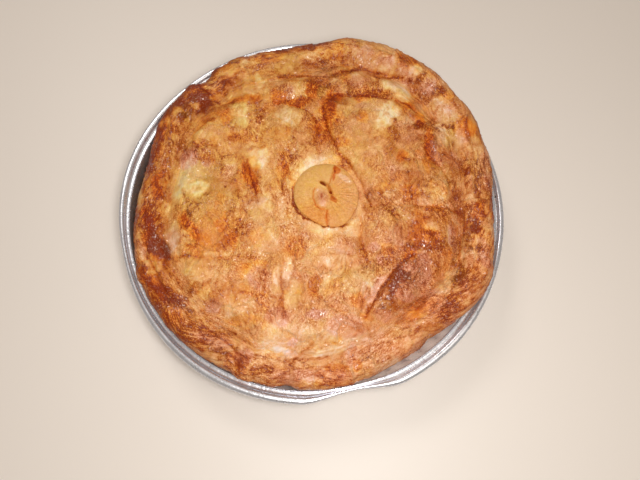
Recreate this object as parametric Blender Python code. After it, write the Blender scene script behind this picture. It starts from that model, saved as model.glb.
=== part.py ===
"""A tourtiere in its foil pie plate: a solid double-crust pie with a rolled border, and a dough rosette on its crown.

The pie stands on z = 0, centred on the z axis. Lengths are in metres; the tables of blisters and folds are in
millimetres, as seen from above with +X to the right and +Y away from the front.
"""

import math

import bpy
import numpy as np
from mathutils import Vector, noise

MM = 0.001

# Foil plate
RIM_RADIUS = 0.1220  # outer edge of the rolled bead, before the rim was bent
BEAD_RADIUS = 0.0018
LEDGE_HEIGHT = 0.0303  # top of the flat ledge inside the bead
LEDGE_INNER_RADIUS = 0.1162
LIP_HEIGHT = 0.0008  # raised line where the ledge meets the wall
WALL_TOP_RADIUS = 0.1154
BASE_RADIUS = 0.0950
BASE_CORNER = 0.0040  # height and width of the rounded corner at the base
FOIL = 0.0007  # wall thickness
FLUTES = 60
FLUTE_DEPTH = 0.0008
PLATE_STEPS = 2 * FLUTES
DENT_ANGLE = math.radians(282)  # the rim is pinched inwards here
DENT_HALF_ANGLE = math.radians(15)
DENT_SQUEEZE = 0.62  # share of the ledge's and bead's width that the dent takes
WALL_DENT = 0.0008  # how far the dent pushes in the top of the wall
# How far the soft rim is bent outwards, in millimetres, every 15 degrees from +X, anticlockwise.
RIM_BEND = (
    0.2, 0.0, 0.0, 0.0, 0.0, 0.0, 0.2, 0.3, 0.4, 0.6, 1.4, 1.7,
    0.9, -0.5, 0.2, 1.2, 1.8, 1.6, 1.3, 1.4, 1.5, 1.7, 1.0, 0.4,
)  # fmt: skip

# Pie
GAP = 0.0003  # kept between pieces that touch
CROWN_HEIGHT = 0.0470  # table to the middle of the top crust, blisters apart
CROWN_FALL = 0.0080  # how far the dome drops towards its edge
GROOVE_AT = 0.80  # share of the outline's radius
GROOVE_HALF_WIDTH = 0.07
GROOVE_DEPTH = 0.0030
BORDER_AT = 0.915
BORDER_HALF_WIDTH = 0.10
BORDER_HEIGHT = 0.0032
BORDER_ROUND = 0.0085  # how far inside the outline the border starts to round over
UNDERSIDE_HEIGHT = 0.0332  # underside of the border where it lies on the rim
SUNK_UNDERSIDE_HEIGHT = 0.0285  # and where it has shrunk into the plate
SUNK_RADIUS = 0.1115  # the border lies wholly inside the plate up to here
RESTING_RADIUS = 0.1152  # and on the rim from here on
BORDER_THICKNESS = 0.0034  # from its underside up to where it reaches furthest out
TUCK = 0.0042  # how far the pie's side lies inside its outline
NECK_RADIUS = 0.1120  # the pie passes inside the plate's lip
NECK_DROP = 0.0006  # below the border's underside
CRUMPLE_SIZE = 0.011
CRUMPLE_HEIGHT = 0.0007

# Radius of the border's outline in millimetres, every 15 degrees from +X, anticlockwise.
OUTLINE = (
    113.7, 118.3, 120.7, 122.3, 122.8, 121.0, 114.2, 113.3, 115.2, 114.8, 114.5, 108.5,
    110.0, 113.0, 114.5, 115.3, 114.6, 115.2, 115.6, 113.8, 111.0, 112.3, 118.5, 115.5,
)  # fmt: skip
# Crags in the outline: direction and half width in degrees, depth in millimetres; a knob has a negative depth.
CRAGS = (
    (20, 7, 1.8),
    (38, 5, 0.8),
    (79, 4, -1.3),
    (87, 4, 0.8),
    (99, 7, 1.2),
    (129.5, 5.5, 3.0),
    (136.5, 3, -0.8),
    (205, 4, -1.3),
    (250, 4, -1.5),
    (263, 4, 2.4),
    (309, 4, 1.0),
    (337, 5, -1.0),
)
# How much higher than its mean the border stands, in millimetres, every 30 degrees.
BORDER_RISE = (0.5, 3.0, 5.0, 3.5, 1.5, 0.5, -0.5, -0.5, 0.0, -0.5, -1.5, 0.5)

# Blisters: x, y, half length, half width, direction in degrees, height.
BLISTERS = (
    (-67, -3, 30, 24, 80, 4.2),  # broad one on the west
    (-60, 44, 24, 15, 35, 3.2),
    (-48, 64, 13, 11, 0, 2.4),
    (-19, 42, 26, 14, 80, 4.2),  # tall bubble beside the valley
    (42, 42, 37, 33, 60, 5.2),  # the largest, north-east of the rosette
    (-12, 79, 14, 9, 5, 2.8),
    (26, 81, 17, 10, 8, 2.2),
    (55, 80, 13, 8, -20, 3.0),
    (83, 44, 15, 11, 60, 2.6),
    (73, 9, 18, 14, 75, 3.0),
    (46, -20, 21, 13, 80, 2.8),
    (74, -22, 15, 13, 60, 2.6),
    (56, -52, 24, 12, 55, 3.6),  # dark fold on the south-east
    (20, -33, 13, 10, 0, 2.0),
    (22, -55, 13, 11, 0, 1.8),
    (8, -77, 22, 13, 0, 2.4),
    (-22, -82, 15, 13, 0, 2.4),
    (-42, -64, 14, 14, 0, 2.8),
    (-63, -60, 17, 11, -25, 2.4),
    (-60, -46, 22, 8, -5, 1.6),
    (-22, -50, 9, 16, 0, 2.0),
    (72, -62, 20, 6, 48, 2.6),
)

# Folds: start x, start y, end x, end y, bend to the left, crease depth, step up on the right-hand side.
FOLDS = (
    (8, 73, 18, 29, -3, 1.4, -3.0),  # the north-east flap lies over the crown beside it
    (18, 29, 37, -8, 3, 1.6, -3.2),
    (31, 0, 34, -43, -2, 1.2, -1.4),
    (37, -8, 92, -8, 3, 1.2, 1.0),
    (74, 32, 90, 0, 2, 1.2, -1.4),
    (63, -36, 32, -76, -4, 1.6, -2.6),
    (-17, -38, -15, -76, -2, 1.0, 1.2),
    (-88, -36, -32, -37, -2, 1.0, -1.0),
    (-51, -40, -49, -68, 2, 0.8, 0.8),
    (0, -60, 38, -84, -1, 0.9, 1.0),
    (-24, 88, 12, 87, 2, 1.8, -1.8),  # inner edge of the border on the north
    (12, 87, 33, 95, 2, 1.8, -2.2),
    (33, 95, 62, 88, 0, 1.8, -2.0),
    (62, 88, 88, 68, 3, 1.0, -1.0),
    (-15, 65, 4, 42, 6, 1.2, 1.4),
    (10, 73, 56, 71, 2, 1.4, 1.4),
    (56, 71, 92, 48, -1, 1.2, 1.4),
    (42, 90, 43, 73, 0, 0.8, 1.0),
    (-42, 26, -33, -4, 1, 1.6, 1.4),
    (-22, 12, -13, -15, 2, 1.2, -1.0),
    (-104, 30, -92, -46, -14, 2.4, 0.0),  # double groove in the western border
    (-80, 54, -84, -42, -12, 2.6, 0.0),
    (-95, -42, -66, -78, -3, 1.8, 0.0),
    (-64, -80, -34, -100, 0, 2.0, 1.0),
    (-12, -101, 2, -89, 0, 1.2, 1.4),
    (20, -104, 25, -91, 0, 1.2, -1.2),
    (50, -93, 86, -54, -5, 1.6, 0.0),
    (90, -58, 99, -8, 3, 1.6, 0.8),
    (-84, 86, -66, 72, 0, 1.8, 2.4),  # the north-western border lies over the sunken part beside it
    (-66, 72, -50, 68, -2, 1.0, 1.4),
)
CREASE_HALF_WIDTH = 0.0016
STEP_HALF_WIDTH = 0.0012
FLAP_REACH = 0.0110  # how far a flap's step takes to fade out
FOLD_POINTS = 9

# Rosette: a strip of dough rolled round a curl and pressed flat.
ROSETTE_CENTRE = (0.0090, 0.0002)
# Its outline's radius in millimetres, every 30 degrees from +X, anticlockwise.
ROSETTE_OUTLINE = (20.3, 20.2, 21.3, 21.4, 21.4, 20.6, 20.2, 20.0, 19.4, 20.7, 22.0, 20.6)
ROSETTE_STEPS = 72
ROSETTE_RINGS = 9
ROSETTE_EDGE_HEIGHT = 0.0026
ROSETTE_CROWN = 0.0016  # how much higher the petals stand midway out
SEAT_HEIGHT = 0.0462
SEAT_RADIUS = 0.0232
SEAT_BLEND = 0.0060
SLIT_ANGLE = 73  # the first petal starts here and runs anticlockwise; degrees
SEAM_ANGLE = 272  # the second petal starts here, over the end of the first
SLIT_STEP = 0.0019
SEAM_STEP = 0.0009
PLEATS = 18
PLEAT_DEPTH = 0.00022  # in the second petal only
# The curl's middle, half width, half length and height, and the crevice beside it, in millimetres.
CURL = (-2.6, -1.8, 5.0, 7.5, 0.9)
CREVICE = ((-3.8, 8.0), (-1.9, 7.2), (1.4, 5.6), (2.8, 1.8), (4.6, -2.2), (6.9, -6.2))
CREVICE_DEPTH = 0.0026
CREVICE_HALF_WIDTH = 0.0016

# Meshing
CRUST_RINGS = 26  # rings of the crown; ring k has 6k points
EDGE_RINGS = 3
SECTORS = 6


def bell(t):
    """1 at t = 0, falling smoothly to 0 where |t| reaches 1."""
    t = np.clip(np.abs(t), 0.0, 1.0)
    return (1.0 - t * t) ** 2


def ramp(t):
    """0 up to t = 0, rising smoothly to 1 from t = 1 on."""
    t = np.clip(t, 0.0, 1.0)
    return t * t * (3.0 - 2.0 * t)


def angle_from(angle, centre):
    """The signed angle from centre, between -pi and pi."""
    return (np.asarray(angle) - centre + math.pi) % math.tau - math.pi


def round_the_rim(values, angle):
    """A smooth closed curve through values that are evenly spaced round the circle, read at angle."""
    values = np.asarray(values, float)
    place = np.asarray(angle) / math.tau % 1.0 * len(values)
    left = np.floor(place).astype(int)
    t = place - left
    before, start, end, after = (values[(left + k) % len(values)] for k in (-1, 0, 1, 2))
    slope_in, slope_out = (end - before) / 2.0, (after - start) / 2.0
    swing = 3.0 * (end - start) - 2.0 * slope_in - slope_out
    return start + t * (slope_in + t * (swing + t * (slope_in + slope_out - 2.0 * (end - start))))


def roughness(x, y, z, size, seed):
    """Smooth noise between about -1 and 1 at each point, with bumps of this size."""
    shift = Vector((seed * 7.31, seed * 3.17, seed * 5.71))
    points = np.stack(np.broadcast_arrays(x, y, z), axis=-1).reshape(-1, 3) / size
    made = [noise.noise(Vector(p) + shift) for p in points]
    return np.array(made).reshape(np.shape(x))


def outline_radius(angle):
    """How far out the border reaches, with its crags."""
    angle = np.asarray(angle, float)
    radius = round_the_rim(OUTLINE, angle) + 0.7 * roughness(np.cos(angle), np.sin(angle), 0.0 * angle, 0.09, 1)
    for direction, half_width, depth in CRAGS:
        radius = radius - depth * bell(angle_from(angle, math.radians(direction)) / math.radians(half_width))
    return radius * MM


def blisters(x, y):
    """The blown-up parts of the crown."""
    height = np.zeros_like(x)
    for middle_x, middle_y, half_length, half_width, direction, rise in BLISTERS:
        turn = math.radians(direction)
        dx, dy = x - middle_x * MM, y - middle_y * MM
        along = (dx * math.cos(turn) + dy * math.sin(turn)) / (half_length * MM)
        across = (dy * math.cos(turn) - dx * math.sin(turn)) / (half_width * MM)
        height = np.maximum(height, rise * MM * bell(np.hypot(along, across)) ** 0.6)
    return height


def fold_path(start, end, bend):
    """Points along a fold, which bows to its left by bend."""
    start, end = np.array(start) * MM, np.array(end) * MM
    left = np.array((start[1] - end[1], end[0] - start[0])) / np.hypot(*(end - start))
    share = np.linspace(0.0, 1.0, FOLD_POINTS)[:, None]
    return start + share * (end - start) + left * bend * MM * 4.0 * share * (1.0 - share)


def from_path(x, y, path):
    """Signed distance to a path, positive on its right, and how far along it the nearest point is, 0 to 1."""
    nearest = np.full(np.shape(x), np.inf)
    side, place = np.zeros_like(x), np.zeros_like(x)
    for number, (a, b) in enumerate(zip(path[:-1], path[1:])):
        run = b - a
        share = np.clip(((x - a[0]) * run[0] + (y - a[1]) * run[1]) / (run @ run), 0.0, 1.0)
        dx, dy = x - a[0] - share * run[0], y - a[1] - share * run[1]
        away = np.hypot(dx, dy)
        closer = away < nearest
        nearest = np.where(closer, away, nearest)
        side = np.where(closer, np.sign(dx * run[1] - dy * run[0]), side)
        place = np.where(closer, (number + share) / (len(path) - 1), place)
    return nearest * side, place


def folds(x, y):
    """Creases, and the steps where one flap of pastry lies over another."""
    height = np.zeros_like(x)
    for x0, y0, x1, y1, bend, depth, step in FOLDS:
        gap, place = from_path(x, y, fold_path((x0, y0), (x1, y1), bend))
        ends = np.sqrt(np.clip(np.sin(math.pi * place), 0.0, 1.0))
        crease = np.exp(-((gap / CREASE_HALF_WIDTH) ** 2)) * ramp(3.0 * ends)
        flap = np.tanh(gap / STEP_HALF_WIDTH) * np.exp(-((gap / FLAP_REACH) ** 2)) * ends
        height += (0.5 * step * flap - depth * crease) * MM
    return height


def crown_height(x, y, share, angle):
    """Height of the top crust. share is the radius as a share of the outline's."""
    dome = CROWN_HEIGHT - CROWN_FALL * share**2.2
    groove = GROOVE_DEPTH * bell((share - GROOVE_AT) / GROOVE_HALF_WIDTH)
    rise = BORDER_HEIGHT + round_the_rim(BORDER_RISE, angle) * MM
    border = rise * bell((share - BORDER_AT) / BORDER_HALF_WIDTH)
    crumple = CRUMPLE_HEIGHT * roughness(x, y, 0.0 * x, CRUMPLE_SIZE, 2)
    height = dome - groove + border + blisters(x, y) + folds(x, y) + crumple
    from_rosette = np.hypot(x - ROSETTE_CENTRE[0], y - ROSETTE_CENTRE[1])
    off_seat = ramp((from_rosette - SEAT_RADIUS) / SEAT_BLEND)
    return SEAT_HEIGHT + (height - SEAT_HEIGHT) * off_seat


def dent(angle):
    """1 in the middle of the rim's dent, 0 away from it."""
    return bell(angle_from(angle, DENT_ANGLE) / DENT_HALF_ANGLE)


def wall_radius(height):
    """Mean inner radius of the plate's wall, with the rounded corner at its foot."""
    slope = (WALL_TOP_RADIUS - BASE_RADIUS) / LEDGE_HEIGHT
    corner = BASE_CORNER * (1.0 - np.sqrt(1.0 - (1.0 - np.clip(height / BASE_CORNER, 0.0, 1.0)) ** 2))
    return BASE_RADIUS + slope * height - corner


def wall_dent(height, angle):
    """How far the wall is pushed in below the rim's dent."""
    return WALL_DENT * dent(angle) * np.clip(height / LEDGE_HEIGHT, 0.0, 1.0) ** 2


def ring_angles(count):
    return np.arange(count) * (math.tau / count)


def stitch(inner, outer):
    """Triangles between two rings of vertex numbers, where the outer one has as many or SECTORS more."""
    faces = []
    if len(inner) == len(outer):
        for k in range(len(inner)):
            after = (k + 1) % len(inner)
            faces += [(inner[k], outer[k], outer[after]), (inner[k], outer[after], inner[after])]
        return faces
    per_sector = len(inner) // SECTORS
    for k in range(len(inner)):
        sector = k // per_sector
        out = k + sector
        faces.append((inner[k], outer[out], outer[out + 1]))
        faces.append((inner[k], outer[out + 1], inner[(k + 1) % len(inner)]))
        if (k + 1) % per_sector == 0:
            last = (out + 2) % len(outer)
            faces.append((inner[(k + 1) % len(inner)], outer[out + 1], outer[last]))
    return faces


def mesh_of_rings(first, rings, last):
    """Vertices and triangles of a closed surface: a point, rings that grow or keep their count, and a point."""
    vertices, faces, numbers = [first], [], []
    for ring in rings:
        numbers.append(range(len(vertices), len(vertices) + len(ring)))
        vertices += [tuple(point) for point in ring]
    top, bottom = numbers[0], numbers[-1]
    faces += [(0, top[k], top[(k + 1) % len(top)]) for k in range(len(top))]
    for inner, outer in zip(numbers[:-1], numbers[1:]):
        faces += stitch(inner, outer)
    vertices.append(last)
    end = len(vertices) - 1
    faces += [(end, bottom[(k + 1) % len(bottom)], bottom[k]) for k in range(len(bottom))]
    return vertices, faces


def ring_points(radius, angle, height):
    return np.stack(np.broadcast_arrays(radius * np.cos(angle), radius * np.sin(angle), height), axis=-1)


def crown_rings():
    """Rings of the top crust, from its middle to where the border starts to round over."""
    rings = []
    for k in range(1, CRUST_RINGS + 1):
        angle = ring_angles(SECTORS * k)
        outline = outline_radius(angle)
        radius = k / CRUST_RINGS * (outline - BORDER_ROUND)
        x, y = radius * np.cos(angle), radius * np.sin(angle)
        rings.append(ring_points(radius, angle, crown_height(x, y, radius / outline, angle)))
    return rings


def underside_height(outline, angle):
    """The border lies on the rim where it reaches that far, and sinks into the plate where it doesn't."""
    resting = ramp((outline - SUNK_RADIUS) / (RESTING_RADIUS - SUNK_RADIUS))
    lifted = 0.5 * np.clip(round_the_rim(BORDER_RISE, angle), 0.0, None) * MM
    return SUNK_UNDERSIDE_HEIGHT + (UNDERSIDE_HEIGHT + lifted - SUNK_UNDERSIDE_HEIGHT) * resting


def edge_rings():
    """Rings that round over the border, from its top to its widest point."""
    rings = []
    for k in range(1, EDGE_RINGS + 1):
        turn = k / EDGE_RINGS * math.pi / 2.0
        angle = ring_angles(SECTORS * (CRUST_RINGS + k))
        outline = outline_radius(angle)
        widest = underside_height(outline, angle) + BORDER_THICKNESS
        edge = outline - BORDER_ROUND
        top = crown_height(edge * np.cos(angle), edge * np.sin(angle), edge / outline, angle)
        radius = edge + BORDER_ROUND * math.sin(turn)
        rings.append(ring_points(radius, angle, widest + (top - widest) * math.cos(turn)))
    return rings


def side_rings():
    """Rings from the border's widest point under it, down the plate's wall and onto its base."""
    angle = ring_angles(SECTORS * (CRUST_RINGS + EDGE_RINGS))
    outline = outline_radius(angle)
    underside = underside_height(outline, angle)
    inside = 0.5 * FLUTE_DEPTH + 2.0 * GAP
    rings = [
        ring_points(outline - 0.25 * TUCK, angle, underside + 0.4 * BORDER_THICKNESS),
        ring_points(outline - TUCK, angle, underside),
        ring_points(np.minimum(outline - TUCK, NECK_RADIUS), angle, underside - NECK_DROP),
    ]
    for height in (0.0270, 0.0045):
        wall = wall_radius(height) - wall_dent(height, angle) - inside
        rings.append(ring_points(np.minimum(outline - TUCK, wall), angle, height))
    rings.append(ring_points(BASE_RADIUS - BASE_CORNER - inside, angle, FOIL + GAP))
    return rings


def make_object(name, vertices, faces, material):
    mesh = bpy.data.meshes.new(name)
    mesh.from_pydata(vertices, [], faces)
    mesh.materials.append(material)
    mesh.shade_smooth()
    made = bpy.data.objects.new(name, mesh)
    bpy.context.scene.collection.objects.link(made)
    return made


def make_material(name, colour, roughness_value, metallic=0.0):
    material = bpy.data.materials.new(name)
    material.use_nodes = True
    shader = material.node_tree.nodes["Principled BSDF"]
    shader.inputs["Base Color"].default_value = (*colour, 1.0)
    shader.inputs["Roughness"].default_value = roughness_value
    shader.inputs["Metallic"].default_value = metallic
    return material


def make_pie():
    """The pie is solid: crown, rolled border, and the side and base that fill the plate."""
    rings = crown_rings() + edge_rings() + side_rings()
    vertices, faces = mesh_of_rings(
        (0.0, 0.0, float(crown_height(np.zeros(1), np.zeros(1), np.zeros(1), np.zeros(1))[0])),
        rings,
        (0.0, 0.0, FOIL + GAP),
    )
    return make_object("pie", vertices, faces, make_material("baked_crust", (0.56, 0.25, 0.09), 0.45))


def petals(angle):
    """Each petal starts high, over the end of the one before it, and runs down to its own end."""
    first_span = SEAM_ANGLE - SLIT_ANGLE
    along = (np.degrees(angle) - SLIT_ANGLE) % 360.0
    in_first = along < first_span
    share = np.where(in_first, along / first_span, (along - first_span) / (360.0 - first_span))
    start_height = np.where(in_first, SLIT_STEP, SEAM_STEP)
    pleats = np.where(in_first, 0.0, np.cos(PLEATS * angle) * np.sin(math.pi * share))
    return start_height * (1.0 - share) ** 1.5 - 0.5 * SLIT_STEP, PLEAT_DEPTH * pleats


def rosette_height(radius, angle, outline):
    """Height above the seat."""
    share = radius / outline
    lift, pleats = petals(angle)
    body = ROSETTE_EDGE_HEIGHT + ROSETTE_CROWN * bell((share - 0.55) / 0.6)
    body += lift * ramp((share - 0.2) / 0.25) + pleats * ramp((share - 0.35) / 0.3)
    x, y = radius * np.cos(angle), radius * np.sin(angle)
    middle_x, middle_y, half_width, half_length, rise = np.array(CURL) * MM
    body += rise * bell(np.hypot((x - middle_x) / half_width, (y - middle_y) / half_length))
    gap, place = from_path(x, y, np.array(CREVICE) * MM)
    ends = ramp(4.0 * place + 0.3) * ramp(2.0 - 2.0 * place)
    body -= CREVICE_DEPTH * ends * bell(gap / CREVICE_HALF_WIDTH)
    rounding = np.sqrt(np.clip(1.0 - share**6, 0.0, 1.0))
    return 0.0010 + (body - 0.0010) * rounding


def make_rosette():
    # The slit and the seam fall between two neighbouring steps.
    angle = ring_angles(ROSETTE_STEPS) + math.radians(SLIT_ANGLE + 0.2)
    outline = round_the_rim(ROSETTE_OUTLINE, angle) * MM
    base = SEAT_HEIGHT + GAP
    rings = []
    for k in range(1, ROSETTE_RINGS + 1):
        even = k / ROSETTE_RINGS
        radius = (0.6 * math.sin(0.5 * math.pi * even) + 0.4 * even) * outline
        rings.append(ring_points(radius, angle, base + rosette_height(radius, angle, outline)))
    rings.append(ring_points(outline - 0.0006, angle, base))
    top = base + float(rosette_height(0.0, np.zeros(1), ROSETTE_OUTLINE[0] * MM)[0])
    vertices, faces = mesh_of_rings((0.0, 0.0, top), rings, (0.0, 0.0, base))
    made = make_object("rosette", vertices, faces, make_material("rosette_dough", (0.66, 0.37, 0.12), 0.55))
    made.location = (*ROSETTE_CENTRE, 0.0)
    return made


def plate_profile():
    """The plate's section from the middle of its upper face, over the bead, to the middle of its underside."""
    bead_radius = RIM_RADIUS - BEAD_RADIUS
    bead_height = LEDGE_HEIGHT + 0.0002
    upper = [(BASE_RADIUS - BASE_CORNER, FOIL)]
    upper += [(float(wall_radius(height)), height) for height in (0.0018, 0.0045, 0.0170)]
    upper += [
        (WALL_TOP_RADIUS, LEDGE_HEIGHT),
        (0.5 * (WALL_TOP_RADIUS + LEDGE_INNER_RADIUS), LEDGE_HEIGHT + LIP_HEIGHT),
        (LEDGE_INNER_RADIUS, LEDGE_HEIGHT),
    ]
    turns = np.radians(np.linspace(160, -160, 9))
    bead = [(bead_radius + BEAD_RADIUS * math.cos(t), bead_height + BEAD_RADIUS * math.sin(t)) for t in turns]
    lower = [(LEDGE_INNER_RADIUS + FOIL, LEDGE_HEIGHT - FOIL)]
    lower += [(float(wall_radius(height)) + FOIL, height - 0.3 * FOIL) for height in (0.0170, 0.0045)]
    lower += [(BASE_RADIUS - 0.3 * BASE_CORNER, 0.0010), (BASE_RADIUS - BASE_CORNER, 0.0)]
    return upper + bead + lower


def bent_rim(radius, angle):
    """Where a part of the rim that was pressed at this radius ends up, for the bends and the dent."""
    width = RIM_RADIUS - LEDGE_INNER_RADIUS
    stretch = (1.0 + round_the_rim(RIM_BEND, angle) * MM / width) * (1.0 - DENT_SQUEEZE * dent(angle))
    outside = max(radius - LEDGE_INNER_RADIUS, 0.0)
    return radius - outside + outside * stretch


def make_plate():
    angle = ring_angles(PLATE_STEPS)
    flutes = 0.5 * FLUTE_DEPTH * np.cos(FLUTES * angle)
    rings = []
    for radius, height in plate_profile():
        on_wall = float(BASE_RADIUS < radius < LEDGE_INNER_RADIUS - 0.002)
        radii = bent_rim(radius, angle) + flutes * on_wall - wall_dent(height, angle)
        rings.append(ring_points(radii, angle, height))
    vertices, faces = mesh_of_rings((0.0, 0.0, FOIL), rings, (0.0, 0.0, 0.0))
    plate = make_object("foil_plate", vertices, faces, make_material("foil", (0.80, 0.80, 0.82), 0.28, 1.0))
    for face in plate.data.polygons:  # the flutes are sharp pleats
        middle = math.hypot(face.center.x, face.center.y)
        face.use_smooth = not BASE_RADIUS - 0.001 < middle < LEDGE_INNER_RADIUS - 0.002
    return plate


def main():
    for old in list(bpy.data.objects):
        bpy.data.objects.remove(old)
    make_plate()
    make_pie()
    make_rosette()


main()
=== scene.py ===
"""Looks of the tourtiere: fine pastry, rosette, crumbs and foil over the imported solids, on a lit floor.

Lengths are in millimetres until a mesh is made, and in metres for the lights and the camera. From the
middle of the plate, x runs to the right and y away from the camera. Directions are in degrees anticlockwise
from +X.
"""

import math

import bmesh
import bpy
import numpy as np
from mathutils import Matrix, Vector, noise

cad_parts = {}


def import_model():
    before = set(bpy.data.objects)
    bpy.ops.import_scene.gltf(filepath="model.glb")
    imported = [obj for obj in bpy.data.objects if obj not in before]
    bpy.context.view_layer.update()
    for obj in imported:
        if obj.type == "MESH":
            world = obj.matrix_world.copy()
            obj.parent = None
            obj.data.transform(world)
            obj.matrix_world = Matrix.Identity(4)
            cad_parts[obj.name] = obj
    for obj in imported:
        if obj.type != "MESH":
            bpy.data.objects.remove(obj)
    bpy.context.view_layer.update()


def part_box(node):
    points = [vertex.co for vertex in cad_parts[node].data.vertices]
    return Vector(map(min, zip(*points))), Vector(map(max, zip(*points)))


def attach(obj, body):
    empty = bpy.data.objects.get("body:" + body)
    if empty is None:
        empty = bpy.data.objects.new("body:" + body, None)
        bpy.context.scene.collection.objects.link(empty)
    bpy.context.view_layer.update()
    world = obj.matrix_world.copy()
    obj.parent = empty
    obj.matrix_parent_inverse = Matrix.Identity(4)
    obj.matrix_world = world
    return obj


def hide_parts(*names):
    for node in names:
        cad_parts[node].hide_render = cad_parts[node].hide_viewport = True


MM = 0.001

# Foil plate, as in the solids
RIM_RADIUS = 122.0
LEDGE_HEIGHT = 30.3
LEDGE_INNER_RADIUS = 116.2
LIP_HEIGHT = 0.8
WALL_TOP_RADIUS = 115.4
BASE_RADIUS = 95.0
BASE_CORNER = 4.0
FOIL = 0.7
BEAD_RADIUS = 1.8
FLUTES = 60
FLUTE_DEPTH = 0.8
DENT_ANGLE = 282.0
DENT_HALF_ANGLE = 15.0
DENT_SQUEEZE = 0.62
WALL_DENT = 0.8
# How far the rim is bent outwards, every 15 degrees from +X
RIM_BEND = (
    0.2, 0.0, 0.0, 0.0, 0.0, 0.0, 0.2, 0.3, 0.4, 0.6, 1.4, 1.7,
    0.9, -0.5, 0.2, 1.2, 1.8, 1.6, 1.3, 1.4, 1.5, 1.7, 1.0, 0.4,
)  # fmt: skip
# The inside of the wall: how far it leans out for its height, where painted shade with a painted reflection
# of the crust lies on it, and where painted light
WALL_LEAN = 0.68
WALL_SHADE_ANGLE = 185.0
WALL_SHADE_HALF_ANGLE = 75.0
WALL_LIGHT_ANGLE = 305.0
WALL_LIGHT_HALF_ANGLE = 70.0

# Pie, as in the solids
GAP = 0.3
CROWN_HEIGHT = 47.0
CROWN_FALL = 8.0
CROWN_POWER = 2.2
GROOVE_AT = 0.80
GROOVE_SHIFT = 0.05
GROOVE_SHIFT_ANGLE = 68.0
GROOVE_SHIFT_HALF_ANGLE = 45.0
GROOVE_HALF_WIDTH = 0.07
GROOVE_DEPTH = 3.0
BORDER_AT = 0.915
BORDER_HALF_WIDTH = 0.10
BORDER_HEIGHT = 3.2
BORDER_ROUND = 8.5
UNDERSIDE_HEIGHT = 33.2
SUNK_UNDERSIDE_HEIGHT = 28.5
SUNK_RADIUS = 111.5
RESTING_RADIUS = 115.2
BORDER_THICKNESS = 3.4
TUCK = 4.2
NECK_RADIUS = 112.0
NECK_DROP = 0.6
FILLING_HEIGHTS = (27.0, 18.0, 9.0, 4.5)
SEAT_HEIGHT = 46.2
SEAT_RADIUS = 23.2
SEAT_BLEND = 6.0
# Mean radius of the border, which turns angles into lengths round it
BORDER_RADIUS = 115.0
# How far out the border reaches, every 15 degrees from +X
OUTLINE = (
    113.7, 118.3, 120.7, 122.3, 122.8, 121.0, 114.2, 113.3, 115.2, 114.8, 114.5, 108.5,
    110.0, 113.0, 114.5, 115.3, 114.6, 115.2, 115.6, 113.8, 111.0, 112.3, 118.5, 115.5,
)  # fmt: skip
# Crags in its outline: direction, half width in degrees, depth.
CRAGS = (
    (20, 7, 1.8), (38, 5, 0.8), (79, 4, -1.3), (87, 4, 0.8), (99, 7, 1.2), (129.5, 5.5, 3.0),
    (136.5, 3, -0.8), (205, 4, -1.3), (250, 4, -1.5), (263, 4, 2.4), (309, 4, 1.0), (337, 5, -1.0),
)  # fmt: skip
# How much higher the border stands, every 30 degrees from +X
BORDER_RISE = (0.5, 3.0, 5.0, 3.5, 1.5, 0.5, -0.5, -0.5, 0.0, -0.5, -1.5, 0.5)

# Blisters: x, y, half length, half width, direction, height.
BLISTERS = (
    (-67, -3, 30, 24, 80, 4.2), (-60, 44, 24, 15, 35, 3.2), (-48, 64, 13, 11, 0, 2.4),
    (-19, 42, 26, 14, 80, 4.2), (42, 42, 37, 33, 60, 5.2), (-12, 79, 14, 9, 5, 2.8),
    (26, 81, 17, 10, 8, 2.2), (55, 80, 13, 8, -20, 3.0), (83, 44, 15, 11, 60, 2.6),
    (73, 9, 18, 14, 75, 3.0), (46, -20, 21, 13, 80, 2.8), (74, -22, 15, 13, 60, 2.6),
    (56, -52, 24, 12, 55, 3.6), (20, -33, 13, 10, 0, 2.0), (22, -55, 13, 11, 0, 1.8),
    (8, -77, 22, 13, 0, 2.4), (-22, -82, 15, 13, 0, 2.4), (-42, -64, 14, 14, 0, 2.8),
    (-63, -60, 17, 11, -25, 2.4), (-60, -46, 22, 8, -5, 1.6), (-22, -50, 9, 16, 0, 2.0),
    (72, -62, 20, 6, 48, 2.6),
)  # fmt: skip

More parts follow.
